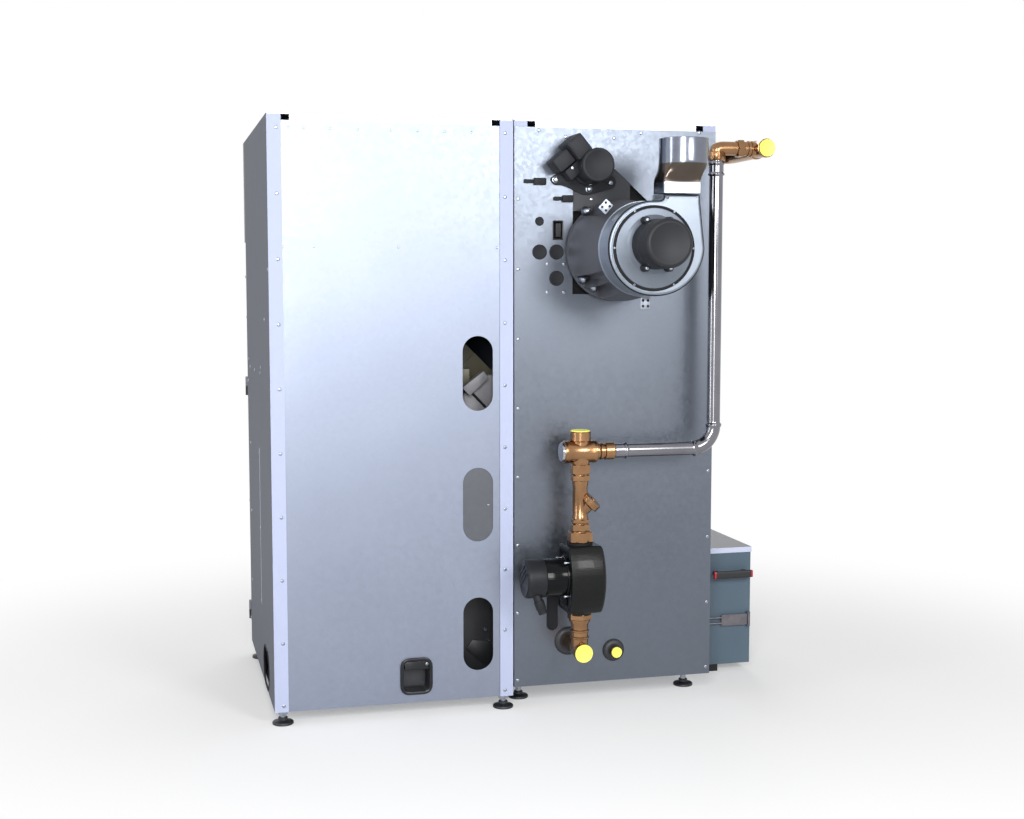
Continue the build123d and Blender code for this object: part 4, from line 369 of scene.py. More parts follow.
foot_plastic = moulded("black_polyamide_foot", "#15161A", "#1E2025", 0.42)
foot_places = [(23.5, -22, 35), (602.5, -22, 35), (23.5, -694, 35), (602.5, -694, 35),
               (-38.5, -100, 57), (-515.5, -100, 57), (-38.5, -672, 57), (-515.5, -672, 57)]
disc_rows = [(0, 0), (0, 26), (1, 27), (5, 27), (7, 25.5), (8, 22), (9, 15), (11, 12.5), (17, 12), (18, 11),
             (18, 0)]
tray_sheet = 3
stud_above_tray = 24
nut_height = 10
nut_flats = 24
foot_discs, foot_studs = [], []
for x, y, tray in foot_places:
    foot_discs.append(turned(disc_rows, (x, y, 0), upward, 48))
    stud_end = tray + tray_sheet + stud_above_tray
    foot_studs.append(turned([(17, 0), (17, 7.6), (stud_end - 2, 7.6), (stud_end, 6.4), (stud_end, 0)],
                             (x, y, 0), upward, 32))
    for low in (tray - nut_height, tray + tray_sheet):
        top = low + nut_height
        nut_rows = [(low, 8), (low, 12.2), (low + 1.6, 14), (top - 1.6, 14), (top, 12.2), (top, 8)]
        foot_studs.append(turned(nut_rows, (x, y, 0), upward, 48, six_flats(nut_flats)))
piece("foot_discs", foot_discs, foot_plastic, "levelling_feet")
piece("foot_studs_and_nuts", foot_studs, screw_steel, sharp=30)


# The side slot: a hole for hoses through the feed unit's side, with a black rubber edge strip
# pushed over the cut sheet so that it can't chafe them. Above it runs a thin pressed guide strip.
def soften(points, radius, steps=6):
    """Rounds each corner of a closed line with a parabola that starts the given radius before the corner."""
    points = np.asarray(points, float)
    radius = np.broadcast_to(radius, len(points))[:, None]
    ends = []
    for shift in (1, -1):
        away = np.roll(points, shift, axis=0) - points
        length = np.linalg.norm(away, axis=1, keepdims=True)
        ends.append(points + away / length * np.minimum(radius, 0.499 * length))
    share = np.linspace(0, 1, steps)[None, :, None]
    curve = ((1 - share) ** 2 * ends[0][:, None] + 2 * share * (1 - share) * points[:, None]
             + share ** 2 * ends[1][:, None])
    return curve.reshape(-1, points.shape[1])


def stadium(middle, width, height, steps=48):
    """An oblong with round ends: half circles set apart along its longer side."""
    angle = (np.arange(steps) + 0.5) * 2 * np.pi / steps
    radius = min(width, height) / 2
    reach = np.array([max(width - height, 0), max(height - width, 0)]) / 2
    arc = np.stack([np.cos(angle), np.sin(angle)], axis=-1)
    return np.asarray(middle, float) + radius * arc + reach * np.sign(arc)


def carried(path, section, normal, closed=False):
    """A closed section of (outward, along the normal) points carried along a path that lies in one plane."""
    path = np.asarray(path, float)
    tangent = np.roll(path, -1, 0) - np.roll(path, 1, 0) if closed else np.gradient(path, axis=0)
    tangent /= np.linalg.norm(tangent, axis=1, keepdims=True)
    normal = np.asarray(normal, float)
    outward = np.cross(tangent, normal)
    section = np.asarray(section, float)
    if section.ndim == 2:
        section = np.broadcast_to(section, (len(path), *section.shape))
    place = path[:, None] + section[..., 0:1] * outward[:, None] + section[..., 1:2] * normal
    if closed:
        place = np.concatenate([place, place[:1]])
    return spot(*np.moveaxis(place, -1, 0))


edge_rubber = moulded("black_edge_rubber", "#0E0F12", "#16171B", 0.6, shine=0.2)
hose_slot = stadium((-236, 91), 168, 105)
strip_path = np.stack([np.full(len(hose_slot), feed_side_x - 1), *hose_slot.T], axis=-1)
u_section = soften([(-2.2, -2.6), (2.6, -2.6), (2.6, -1.2), (-0.4, -1.2), (-0.4, 1.2), (2.6, 1.2), (2.6, 2.6),
                    (-2.2, 2.6)], 0.5, 3)
piece("side_slot_edge_strip", [carried(strip_path, u_section, sideward, True)], edge_rubber)
guide_path = np.linspace((feed_side_x, -366, 236), (feed_side_x, -366, 670), 3)
guide = carried(guide_path, [(-1, -0.2), (1, -0.2), (0.8, 0.7), (-0.8, 0.7)], sideward)
piece("side_guide_strip", [guide], plain_steel)


# Air inlet: a moulded black frame clipped into the rear panel, with a brow that sheds drips
# over its mouth. Inside hangs a light flap, which the incoming air swings open.
def plate(outline, rows, axis="y"):
    """Each row is a height and an inset: the outline, moved inwards by the inset, at that height."""
    outline = np.asarray(outline, float)
    along = np.roll(outline, -1, 0) - np.roll(outline, 1, 0)
    along /= np.linalg.norm(along, axis=1, keepdims=True)
    inward = np.stack([-along[:, 1], along[:, 0]], axis=-1)
    following = np.roll(outline, -1, 0)
    if np.sum(outline[:, 0] * following[:, 1] - following[:, 0] * outline[:, 1]) < 0:
        inward = -inward
    rows = np.asarray(rows, float)
    flat = outline + rows[:, 1, None, None] * inward
    height = np.broadcast_to(rows[:, 0, None], flat.shape[:2])
    if axis == "x":
        return spot(height, flat[..., 0], flat[..., 1])
    return spot(flat[..., 0], height, flat[..., 1])


def slab(near, far, edge):
    """Rows for a plate between two heights, with both edges rounded."""
    inset = edge * np.array([1.0, 0.3, 0.0])
    step = np.sign(far - near) * edge * np.array([0.0, 0.3, 1.0])
    low = np.stack([near + step, inset], axis=-1)
    high = np.stack([far - step[::-1], inset[::-1]], axis=-1)
    return np.concatenate([low, high])


def box_outline(x0, x1, z0, z1, radius, steps=6):
    """A rectangle with rounded corners."""
    return soften([(x0, z0), (x1, z0), (x1, z1), (x0, z1)], radius, steps)


frame_plastic = moulded("black_abs_inlet_frame", "#16171B", "#1E1F24", 0.32, shine=0.3)
mouth = [(2, 0), (4.5, 1), (5.5, 3), (5.0, 6), (3.5, 8.5), (-36, 11), (-37, 12.5), (-44, 12.5)]
rim_rows = [(-2, 0)] + mouth + [(-44, 9.5), (-2, 9.5), (-2, 0)]
inlet_grids = [plate(box_outline(217.5, 302.5, 56.5, 153.5, 26), rim_rows)]
brow = soften([(1.5, 144), (-14, 144), (-14, 124), (0.5, 122), (3.5, 123.5)], 1.5, 4)
inlet_grids.append(plate(brow, slab(229, 291, 1.0), "x"))
inlet_grids.append(turned([(-4, 4.2), (3, 4.2), (4.2, 3.2), (4.6, 0)], (233.5, 1, 137), backward, 24))
piece("inlet_frame_moulding", inlet_grids, frame_plastic, "inlet_frame")
piece("inlet_frame_screw", [pan_screw((233.5, 0, 137), seat=4.4, high=0.9, wide=0.9)], screw_steel)
flap_plastic = moulded("dark_grey_abs_flap", "#2A2C30", "#34363B", 0.35)
dress(flap_plastic, "inlet_flap")


# Inside the feed unit: a zinc-coated hopper, a stainless auger tube, gear motors with olive lacquered
# housings, a sand-cast rotary valve and a black suction turbine. The drive's cast gear case, terminal
# box and cable sit behind the upper slot, and the turbine's lug and bolts behind the lower one.
hopper_zinc = rolled_zinc("zinc_coated_hopper_steel", "#9298A1", "#A6ACB5", 0.8, 0.38)
dress(hopper_zinc, "pellet_hopper")


def drawn_metal(name, dark, pale, metallic, roughness, brushed=(1, 1, 1), grain_mm=0.6, grain=0.08):
    """Bare metal that was drawn, brushed or cast: grain stretched along the direction it was worked."""
    return clouded(name, dark, pale, roughness, 0.05, (14.0, 4.0), grain_mm, (grain, 0.0002), worked=brushed,
                   settings={"Metallic": metallic})


inner_stainless = drawn_metal("brushed_stainless_steel", "#A9A9A6", "#BDBDBA", 1.0, 0.32, (0.02, 1, 1))
dress(inner_stainless, "feed_auger_tube", "feed_auger", "ash_auger", "turbulators", "cleaning_crank",
      "fan_impeller", "pump_rotor")
olive_lacquer = powder_coat("olive_lacquered_motor_iron", "#3B3826", "#48442F", 0.4)
dress(olive_lacquer, "gear_motors")
valve_cast = drawn_metal("sand_cast_aluminium", "#A4A6A8", "#B7B9BB", 1.0, 0.5, grain_mm=1.0, grain=0.25)
dress(valve_cast, "rotary_valve_housing")
burnt_iron = drawn_metal("grey_cast_iron", "#3B3A3A", "#4A4847", 0.7, 0.6, grain_mm=1.5, grain=0.3)
dress(burnt_iron, "rotary_valve_rotor", "burner_pot", "grate")
turbine_plastic = moulded("black_abs_turbine_case", "#16171A", "#1E1F23", 0.4)
dress(turbine_plastic, "suction_turbine")
gear_cast = drawn_metal("plain_cast_gear_housing", "#6C6C70", "#7A7A7E", 0.1, 0.55, grain_mm=1.4, grain=0.2)
flange_corners = [(123, 847), (65, 891), (51, 872), (103, 825)]
case_corners = [(118, 830), (92, 838), (44, 884), (14, 870), (14, 750), (118, 750)]
gear_grids = [plate(soften(flange_corners, 4, 4), slab(-88, -60, 2)),
              plate(soften(case_corners, 14, 5), slab(-130, -84, 6))]
piece("feed_gear_case", gear_grids, gear_cast)
terminal = plate(soften([(128, 896), (97, 896), (97, 856), (112, 844), (128, 844)], 3, 4), slab(-120, -84, 2))
piece("feed_motor_terminal_box", [terminal], olive_lacquer)
cable = turned([(0, 0), (0, 3.2), (62, 3.2), (62, 0)], (98, -81, 838), (-0.69, 0, -0.72), 20)
piece("feed_drive_cable", [cable], edge_rubber)
lug_corners = [(87, 164), (42, 159), (29, 141), (20, 110), (54, 94), (104, 139)]
turbine_lug = plate(soften(lug_corners, 4, 4), slab(-110, -106, 1))
piece("turbine_case_lug", [turbine_lug], turbine_plastic)
inner_bolts = [turned([(0, 4.6), (4, 4.6), (5, 3.8), (5, 0)], (51, -110, 190), backward, 24),
               turned([(0, 2.2), (14, 2.2), (14.5, 1.6), (14.5, 0)], (42, -104, 160), (-0.7, 0, -0.7), 16)]
piece("turbine_case_bolts", inner_bolts, screw_steel)
piece("slot_cover_screw", [pan_screw((66.7, 0, 544.8), seat=-4, high=0.8, wide=0.7)], screw_steel)


# Boiler body and its jacket: welded steel plate with a heat-proof grey primer, wrapped in mineral
# wool mats with a black glass fleece, which shows as a black gap round the fan.
body_primer = powder_coat("grey_heat_proof_primer", "#3A3C40", "#46484D", 0.6, peel_mm=2)
dress(body_primer, "boiler_body", "firebox_cover")
black_fleece = moulded("black_glass_fleece_on_wool", "#0B0B0D", "#141417", 0.9, grain_mm=2.5, grain=0.6)
dress(black_fleece, "insulation_jacket")


# Cleaning drive: a folded grey plate in the panel's cut-out carries a moulded gearbox with a round
# motor cap and a side housing, both black glass-filled nylon, held by three domed steel bolts.
plate_paint = powder_coat("anthracite_powder_coat", "#37383C", "#404146", 0.5, shine=0.3)
dress(plate_paint, "actuator_plate")
drive_nylon = moulded("black_glass_filled_nylon", "#232428", "#2B2C30", 0.55, grain=0.25, shine=0.2)


def swung(outline, middle, angle):
    """An outline turned about a point by an angle in degrees."""
    cosine, sine = np.cos(np.radians(angle)), np.sin(np.radians(angle))
    return (outline - middle) @ np.array([[cosine, sine], [-sine, cosine]]) + middle


def swung_box(middle, width, length, angle, radius):
    """A rounded rectangle turned about its own middle by an angle in degrees."""
    flat = box_outline(-width / 2, width / 2, -length / 2, length / 2, radius, 4)
    return swung(flat + np.asarray(middle, float), middle, angle)


flange_outline = soften([(-94, 1388), (-106, 1370), (-128, 1372), (-190, 1346), (-212, 1350), (-272, 1368),
                         (-276, 1388), (-246, 1412), (-130, 1412)], 12, 5)
drive_axis = (-198, 0, 1418)
cap_rows = [(4, 0), (4, 43), (84, 43), (84, 42), (86, 42), (86, 43), (91, 43), (94, 41), (95, 38), (95, 36.5),
            (94.2, 35.5), (94.2, 0)]
drive_grids = [plate(flange_outline, slab(0, 4, 0.8)),
               turned(cap_rows, drive_axis, backward, 72),
               turned([(0, 0), (0, 47), (18, 47), (21, 44), (21, 0)], drive_axis, backward, 72),
               plate(swung_box((-152, 1464), 46, 54, -40, 5), slab(0, 82, 3)),
               plate(swung_box((-152, 1464), 40, 48, -40, 4), slab(80, 84, 1.5)),
               plate(swung_box((-116, 1429), 50, 38, -40, 5), slab(0, 64, 3)),
               plate(swung_box((-150, 1408), 30, 52, 50, 4), slab(0, 52, 3))]
piece("cleaning_drive_housing", drive_grids, drive_nylon, "cleaning_actuator")
bolt_rows = [(0, 0), (0, 8.5), (1.6, 8.5), (2, 7), (5, 6.6), (7.5, 4.8), (8.6, 0)]
drive_bolts = [turned(bolt_rows, place, backward, 32)
               for place in ((-110, 4, 1385), (-200, 4, 1362), (-259, 0, 1379))]
drive_bolts += [pan_screw(place) for place in ((-141, 52, 1412), (-209, -2, 1337))]
piece("cleaning_drive_bolts", drive_bolts, screw_steel)


# Fan seat: a deep-drawn steel dish with a dark heat-proof coat. It holds the fan off the hot
# boiler body, with pockets round its edge for the dome nuts that clamp it.
dish_coat = powder_coat("black_heat_proof_coat", "#43444A", "#4F5057", 0.45, peel_mm=1.5, shine=0.35)
fan_x, fan_z = -268, 1203
fan_centre = (fan_x, 0, fan_z)
nut_places = np.array([(-186, 1304), (-178, 1130), (-206, 1109), (-352, 1290), (-352, 1116)], float)
pocket_radius = 17


def nut_pockets(angle):
    """The dish's radius at each angle: where a round pocket's near edge lies on it, else without limit."""
    offset = nut_places - (fan_x, fan_z)
    distance = np.hypot(offset[:, 0], offset[:, 1])[:, None]
    swing = angle[None] - np.arctan2(offset[:, 1], -offset[:, 0])[:, None]
    miss = distance * np.sin(swing)
    cut = (np.abs(miss) < pocket_radius) & (np.cos(swing) > 0)
    near = distance * np.cos(swing) - np.sqrt(np.clip(pocket_radius ** 2 - miss ** 2, 0, None))
    return np.where(cut, near, np.inf).min(axis=0)


# The dish's side narrows from 128 to 102 mm over its height and swells by 7 mm halfway.
rise = np.linspace(0, 1, 14)
dome_rows = np.stack([22 + 190 * rise, 128 - 26 * rise ** 1.5 + 7 * np.sin(np.pi * rise)], axis=-1)
dish_rows = [(-60, 88), (8, 88), (8, 128), (10, 130), (20, 130), (22, 128.5)]
dish_low = turned(dish_rows + [(22, 100)], fan_centre, backward, 144)
seat_rows = [(214, 104), (220, 107), (232, 112), (234, 112), (234, 60)]
dish_high = turned([(21.9, 100), *dome_rows, *seat_rows], fan_centre, backward, 144, nut_pockets)
piece("fan_seat_dish", [dish_low, dish_high], dish_coat, "fan_mount")
nut_rows = [(0, 0), (0, 13), (2, 13.5), (6, 12), (12, 11.6), (18, 9.6), (22, 5.4), (23.5, 0)]
dome_nuts = [turned(nut_rows, (x, 22, z), backward, 32) for x, z in nut_places]
piece("fan_dome_nuts", dome_nuts, screw_steel, "fasteners")


# Fan volute: a two-part aluminium die casting, blasted and left bare. Its scroll widens to the
# duct, and a turned step on its outer face seats the motor plate. Soft grey, with a satin shine.
def through(start, middle, end, steps=24):
    """Points on the circle through three points, from the first to the last."""
    start, middle, end = (np.asarray(p, float) for p in (start, middle, end))
    rows = np.array([middle - start, end - start]) * 2
    centre = np.linalg.solve(rows, np.array([middle @ middle - start @ start, end @ end - start @ start]))
    first, half, last = (np.arctan2(*(p - centre)[::-1]) for p in (start, middle, end))
    sweep = (last - first) % (2 * np.pi)
    if (half - first) % (2 * np.pi) > sweep:
        sweep -= 2 * np.pi
    angle = first + sweep * np.linspace(0, 1, steps)
    return centre + np.linalg.norm(start - centre) * np.stack([np.cos(angle), np.sin(angle)], axis=-1)


fan_middle = np.array([fan_x, fan_z], float)
scroll = np.concatenate([
    through((-262, 1319.85), fan_middle + 82.7, (-151, fan_z)),
    through((-151, fan_z), fan_middle + (82.7, -82.7), (fan_x, 1086))[1:],
    through((fan_x, 1086), fan_middle + (-89.1, -89.1), (-403, fan_z))[1:],
    np.linspace((-403, fan_z), (-388, 1335), 8)[1:],
    np.linspace((-388, 1335), (-292, 1335), 8)[1:],
    soften([(-292, 1335), (-291.6, 1320.3), (-262, 1319.85)], 14, 9)[9:18]])
die_cast = drawn_metal("blasted_die_cast_aluminium", "#7A828D", "#88909B", 0.7, 0.36, grain_mm=0.9,
                       grain=0.12)
scroll_rows = [(233, 3), (233, 0), (239, 0), (239, 1.2), (298, 2.2), (303, 3.2), (306.5, 5.5), (308, 8.5),
               (308, 10.5), (310, 11.2), (310, 14)]
piece("fan_volute_casting", [plate(scroll, scroll_rows)], die_cast, "fan_volute", sharp=32)

parting_rows = [(302.4, 2.8), (304.8, 2.8), (306.8, 4.8), (305.6, 6), (302.4, 2.8)]
piece("volute_parting_seal", [plate(scroll, parting_rows)], edge_rubber)

# Thin dark discs on the lug plates' holes: painted shade standing for the dark inside each open hole.
shade_disc_rows = [(237.05, 0), (237.05, 3.4), (237.3, 3.4), (237.3, 0)]
hole_shade_discs, lug_grids = [], []
for middle, angle in (((-170, 1305), 42), ((-274, 1070), 0)):
    lug = swung_box(middle, 25, 30, angle, 2.5)
    lug_grids.append(plate(lug, slab(233, 237, 0.6)))
    for x, z in swung_box(middle, 13, 14, angle, 0.01)[::4]:
        hole_shade_discs.append(turned(shade_disc_rows, (x, 0, z), backward, 20))
lug_steel = plated_steel("zinc_plated_lug_steel", "#8E949E", "#A0A6B0", 0.4)
piece("volute_lug_plates", lug_grids, lug_steel)
painted_hole_shade = moulded("painted_shade_of_open_hole", "#0A0A0C", "#101012", 0.8)
piece("volute_lug_hole_shade_discs", hole_shade_discs, painted_hole_shade)


# Motor plate: a turned aluminium cover in the volute's step, sealed by a dark ring and held by six
# small screws. A shallow cone rises to the motor, which sits a little above the plate's middle.
motor_centre = (fan_x, 0, fan_z + 9)
turned_aluminium = drawn_metal("turned_aluminium_plate", "#5F6670", "#6C737D", 0.8, 0.42, grain_mm=0.7,
                               grain=0.1)
plate_rows = [(309, 0), (309, 97), (313, 97), (313.6, 96.4), (314, 95), (314, 74), (315, 71), (315, 0)]
cone_rows = [(313, 72), (314.5, 71.5), (317, 67), (320, 61.5), (321, 60.5), (321, 0)]
piece("fan_motor_plate", [turned(plate_rows, fan_centre, backward, 128),
                          turned(cone_rows, motor_centre, backward, 128)], turned_aluminium,
      "fan_cover")
seal_rows = [(309, 97.2), (314.2, 97.2), (314.8, 98.6), (314.6, 101.6), (314, 103), (309, 103.4), (309, 97.2)]
piece("motor_plate_seal", [turned(seal_rows, fan_centre, backward, 128)], edge_rubber)
ring_radius = 100.5
plate_screws = [pan_screw((fan_x + ring_radius * np.cos(angle), 0, fan_z + ring_radius * np.sin(angle)),
                          seat=313, high=1.2, wide=0.72, steps=14)
                for angle in np.radians([60, 120, 180, 240, 300, 0])]
piece("motor_plate_screws", plate_screws, screw_steel)


# Fan motor: a deep-drawn steel can with a satin black coat. A wider foot part with four screw
# bosses clamps it to the plate, and a seam shows where the smooth end cap is pressed on.
can_coat = powder_coat("satin_black_motor_coat", "#1E1F22", "#25262A", 0.45, peel_mm=1.2, shine=0.22)
can_rows = [(321, 0), (321, 60), (323, 60.5), (356, 59.6), (357, 58.6), (358.5, 58.6), (359, 59.4),
            (410, 58.6), (415, 57.4), (418.6, 54), (420, 50), (420.2, 48), (419.6, 47), (419.6, 0)]
can_grids = [turned(can_rows, motor_centre, backward, 96)]
boss_places = [(fan_x + 30 * side, 0, motor_centre[2] + 57 * level) for side in (1, -1) for level in (1, -1)]
boss_rows = [(321, 0), (321, 9), (343, 8.4), (345, 7), (345, 0)]
can_grids += [turned(boss_rows, place, backward, 24) for place in boss_places]
piece("fan_motor_can", can_grids, can_coat, "fan_motor")
boss_screws = [pan_screw(place, seat=345, high=2.2, wide=1.1) for place in boss_places]
piece("fan_motor_screws", boss_screws, screw_steel)


# Flue adapter: thin stainless steel, a square socket on the fan's duct that is pressed over to a
# round spigot, with the seam bead low down. Brushed round its girth, so it mirrors in long streaks.
adapter_steps = 96
adapter_angle = (np.arange(adapter_steps) + 0.5) * 2 * np.pi / adapter_steps


def square_to_round(square_middle, half_sizes, round_middle, radius, share):
    """A loop between a rectangle and a circle: share 0 is the rectangle, 1 the circle."""
    circle = np.stack([np.cos(adapter_angle), np.sin(adapter_angle)], axis=-1)
    edge = circle / np.max(np.abs(circle) / half_sizes, axis=1, keepdims=True) + square_middle
    return edge * (1 - share) + (circle * radius + round_middle) * share


duct_middle, duct_half = np.array([-340, 272.5]), np.array([47.7, 37.2])
flue_middle = np.array([-355, 275])
outer_wall, inner_wall = 0.0, 1.6
eased = [(1363 + 50 * t, t * t * (3 - 2 * t)) for t in np.linspace(0, 1, 14)]
levels = [(1336, 0.0, 60.0, outer_wall), (1362, 0.0, 60.0, outer_wall)]
levels += [(z, share, 60.0, outer_wall) for z, share in eased[1:]]
levels += [(z, 1.0, radius, outer_wall) for z, radius in (
    (1440, 60.0), (1466, 60.0), (1468.5, 60.4), (1469, 59.6), (1468, 58.6), (1413, 58.4))]
levels += [(z, share, 58.0, inner_wall) for z, share in eased[-2::-1]]
adapter_loops = []
for z, share, radius, wall in levels:
    loop = square_to_round(duct_middle, duct_half - wall, flue_middle, radius, share)
    adapter_loops.append(spot(loop[:, 0], loop[:, 1], float(z)))
adapter_grid = np.stack(adapter_loops)
flue_steel = drawn_metal("brushed_flue_stainless_steel", "#757A86", "#838894", 1.0, 0.2, (1, 1, 0.03))


def banded(finish, bands, blend=0.003):
    """Recolours a finish below each of several heights in millimetres, highest first, over a soft blend."""
    tree = finish.node_tree
    colour = tree.nodes["Principled BSDF"].inputs["Base Color"]
    place = node(tree, "ShaderNodeTexCoord").outputs["Object"]
    height = node(tree, "ShaderNodeSeparateXYZ", {0: place}).outputs[2]
    for limit_mm, code in bands:
        limit = limit_mm / 1000
        under = node(tree, "ShaderNodeMapRange", {"Value": height, "From Min": limit - blend / 2,
                     "From Max": limit + blend / 2, "To Min": 1.0, "To Max": 0.0},
                     interpolation_type="SMOOTHSTEP")
        tree.links.new(blended(tree, under.outputs[0], colour.links[0].from_socket, code), colour)


# Below 1408 mm the steel is painted dark brown: a painted reflection of dark surroundings over the neck.
# Below 1362.5 mm the square socket is a paler grey.
banded(flue_steel, [(1408, "#585049"), (1362.5, "#8E96A2")])
piece("flue_adapter_shell", [adapter_grid], flue_steel, "flue_adapter", sharp=50)


# Cable fittings: black nylon plugs in the panel's punched holes, two strap clamps, and a small
# zinc plate with a gland hole. The mains switch is a snap-in rocker in a thin bezel.
plug_nylon = moulded("black_nylon_plug", "#1D1E22", "#24252A", 0.6, grain=0.1, shine=0.2)
plug_grids = []
for x, z, radius, seat in ((-68.4, 1278.3, 11.5, 0), (-68.9, 1199.6, 19.5, 0), (-114.3, 1199.9, 19.5, 0),
                           (-114.3, 1132, 19.5, 1)):
    plug_rows = [(-1, 0), (-1, radius), (1.2, radius), (2.2, radius - 1), (2.5, radius - 2.5),
                 (2.1, radius - 3.5), (2.1, 0)]
    plug_grids.append(turned(plug_rows, (x, seat, z), backward, 48))
clamp_screw = [(8, 0), (8, 4.5), (9.2, 4.2), (9.6, 3), (9.6, 0)]
for x, z, length in ((-56, 1380, 58), (-132, 1337, 52)):
    for offset, reach, high, depth in ((-0.3, 0.42, 10, 5), (0.22, 0.56, 18, 8), (0.0, 0.9, 8, 4)):
        middle, half = x - offset * length, reach * length / 2
        outline = box_outline(middle - half, middle + half, z - high / 2, z + high / 2, 2.5, 4)
        plug_grids.append(plate(outline, slab(0, depth, 1.2)))
    plug_grids.append(turned(clamp_screw, (x - 0.22 * length, 0, z), backward, 20))
pump_slot = stadium((-105.3, 267), 30.6, 126)
plug_grids.append(plate(pump_slot, [(-1, 0), (1.4, 0), (2.4, 1), (2.4, 2.4), (1.2, 3.4), (1.2, 14)]))
piece("cable_plugs_and_clamps", plug_grids, plug_nylon, sharp=30)
switch_plastic = moulded("black_switch_polycarbonate", "#141518", "#1A1B1F", 0.35, grain=0.05, shine=0.3)
bezel_rows = [(0, 0), (2.2, 0), (3, 0.8), (3, 2.6), (2.4, 3.4), (-8, 3.4), (-8, 2.4), (0, 2.4), (0, 0)]
bezel_outline = box_outline(-132, -104, 1231, 1281, 3)
piece("mains_switch_bezel", [plate(bezel_outline, bezel_rows)], switch_plastic,
      "cable_fittings")
dress(switch_plastic, "mains_rocker")
gland_outline = box_outline(-158, -90, 1092, 1174, 1.0, 3)
# The gland plate carries the boiler panel's painted shade.
piece("gland_plate", [plate(gland_outline, slab(0, 0.6, 0.2))], shaded_boiler_zinc, sharp=10)


# Circulation pump: an iron body under a satin black dipped coat that keeps the sand mould's pebble
# grain, drawn coarse enough to show; a smooth canned motor and a matt control head with a cable gland.
pump_coat = powder_coat("black_dip_coated_cast_iron", "#08090A", "#0D0E0F", 0.3, peel_mm=3.0, coat=0.08,
                        shine=0.2, relief=(0.5, 0.0008))
stack_axis = (-150, 100, 0)
bulge = through((138, 279), (165, 363), (138, 447), 11)
body_side = soften([(36, 284), (40, 276), (133, 276), *bulge, (133, 450), (52, 450), (36, 434)],
                   [6, 6, 3, *[5] * 11, 3, 14, 14], 5)
body_rows = [(-194, 0), (-150, -1.5), (-118, 0), (-111.5, 1.2), (-110, 4), (-110, 18), (-111.5, 20)]
body_middle = body_side.mean(axis=0)
swing = np.linspace(0.12, 1, 9) * np.pi / 2
dome_side = body_middle + np.sin(swing)[:, None, None] ** 0.45 * (body_side - body_middle)
dome_x = np.broadcast_to(-194 - 12 * np.cos(swing)[:, None], dome_side.shape[:2])
body_dome = spot(dome_x, dome_side[..., 0], dome_side[..., 1])[:-1]
body_wall = plate(body_side, body_rows, "x")
piece("pump_body_casting", [np.concatenate([body_dome, body_wall]),
                            turned([(268, 0), (268, 31), (277, 31), (279, 34), (279, 0)],
                                   stack_axis, upward, 48),
                            turned([(448, 0), (448, 34), (451, 31.5), (457, 31.5), (457, 0)],
                                   stack_axis, upward, 48)], pump_coat, "pump_housing",
      sharp=45)
pump_axis = (0, 100, 367)
gloss_can = moulded("gloss_black_motor_lacquer", "#08090A", "#0C0D0F", 0.14, grain=0.02, shine=0.15)
barrel_rows = [(-111, 0), (-111, 54), (-106, 54), (-104.5, 52.5), (-104.5, 49), (-52, 49), (-50.6, 48),
               (-50.6, 0)]
piece("pump_motor_can", [turned(barrel_rows, pump_axis, sideward, 96)], gloss_can,
      "pump_motor")
head_plastic = moulded("black_pbt_control_head", "#1B1C20", "#232428", 0.45, shine=0.2)
head_rows = [(-51, 0), (-51, 48.4), (-49.5, 49.6), (-48, 50), (-7, 50), (-3, 48.6), (-0.6, 45.5), (0, 43.5),
             (-0.8, 42.4), (-0.8, 0)]
head_grids = [turned(head_rows, pump_axis, sideward, 96)]
gland_rows = [(30, 0), (30, 11), (62, 11), (63, 12.8), (84, 13), (86, 11.5), (97, 11), (98, 9.5), (98, 0)]
head_grids.append(turned(gland_rows, (-14, 112, 372), (-0.3, 0.2, -0.93), 48))
rib_spacing = 12.566
for step in (-1, 0, 1):
    low = 377 + rib_spacing * step
    rib = swung(box_outline(70, 130, low, low + 4, 1.5, 3), pump_axis[1:], 35)
    head_grids.append(plate(rib, [(-1, 0), (0.6, 0), (1, 0.6)], "x"))
piece("pump_control_head", head_grids, head_plastic)
allen_rows = [(-111, 0), (-111, 2.6), (-102, 2.6), (-102, 4), (-97.6, 4), (-97, 3.4), (-97, 2), (-99, 1.8),
              (-99, 0)]
screw_circle = 47
allens = [turned(allen_rows, np.array(pump_axis) + (0, screw_circle * y, screw_circle * z), sideward, 20)
          for y in (-0.78, 0.78) for z in (-0.92, 0.92)]
piece("pump_flange_screws", allens, screw_steel)
piece("pump_union_gasket", [turned([(449.5, 0), (449.5, 33), (456.5, 33), (456.5, 0)], stack_axis,
                                   upward, 48)], edge_rubber)


# Pump fittings: hot-pressed brass and red bronze, turned where they seal. Union nuts and adapters
# are hexagons with chamfered corners; the strainer has a slanted branch closed by a screw cap.
bronze = drawn_metal("pressed_red_bronze", "#86664A", "#A67F5C", 1.0, 0.21, grain_mm=1.3, grain=0.5)


def hexagon_nut(low, high, flats, collar=0.0):
    """Rows of a hexagon nut with chamfered corners, and a round collar on top if one is given."""
    half = flats / 2
    corner = half * 1.155
    rows = [(low, 0), (low, half - 0.6), (low + 1.6, corner), (high - 1.6, corner), (high, half - 0.6)]
    rows += [(high, half - 2), (high + collar, half - 2)] if collar else []
    return rows + [(high + collar, 0)]


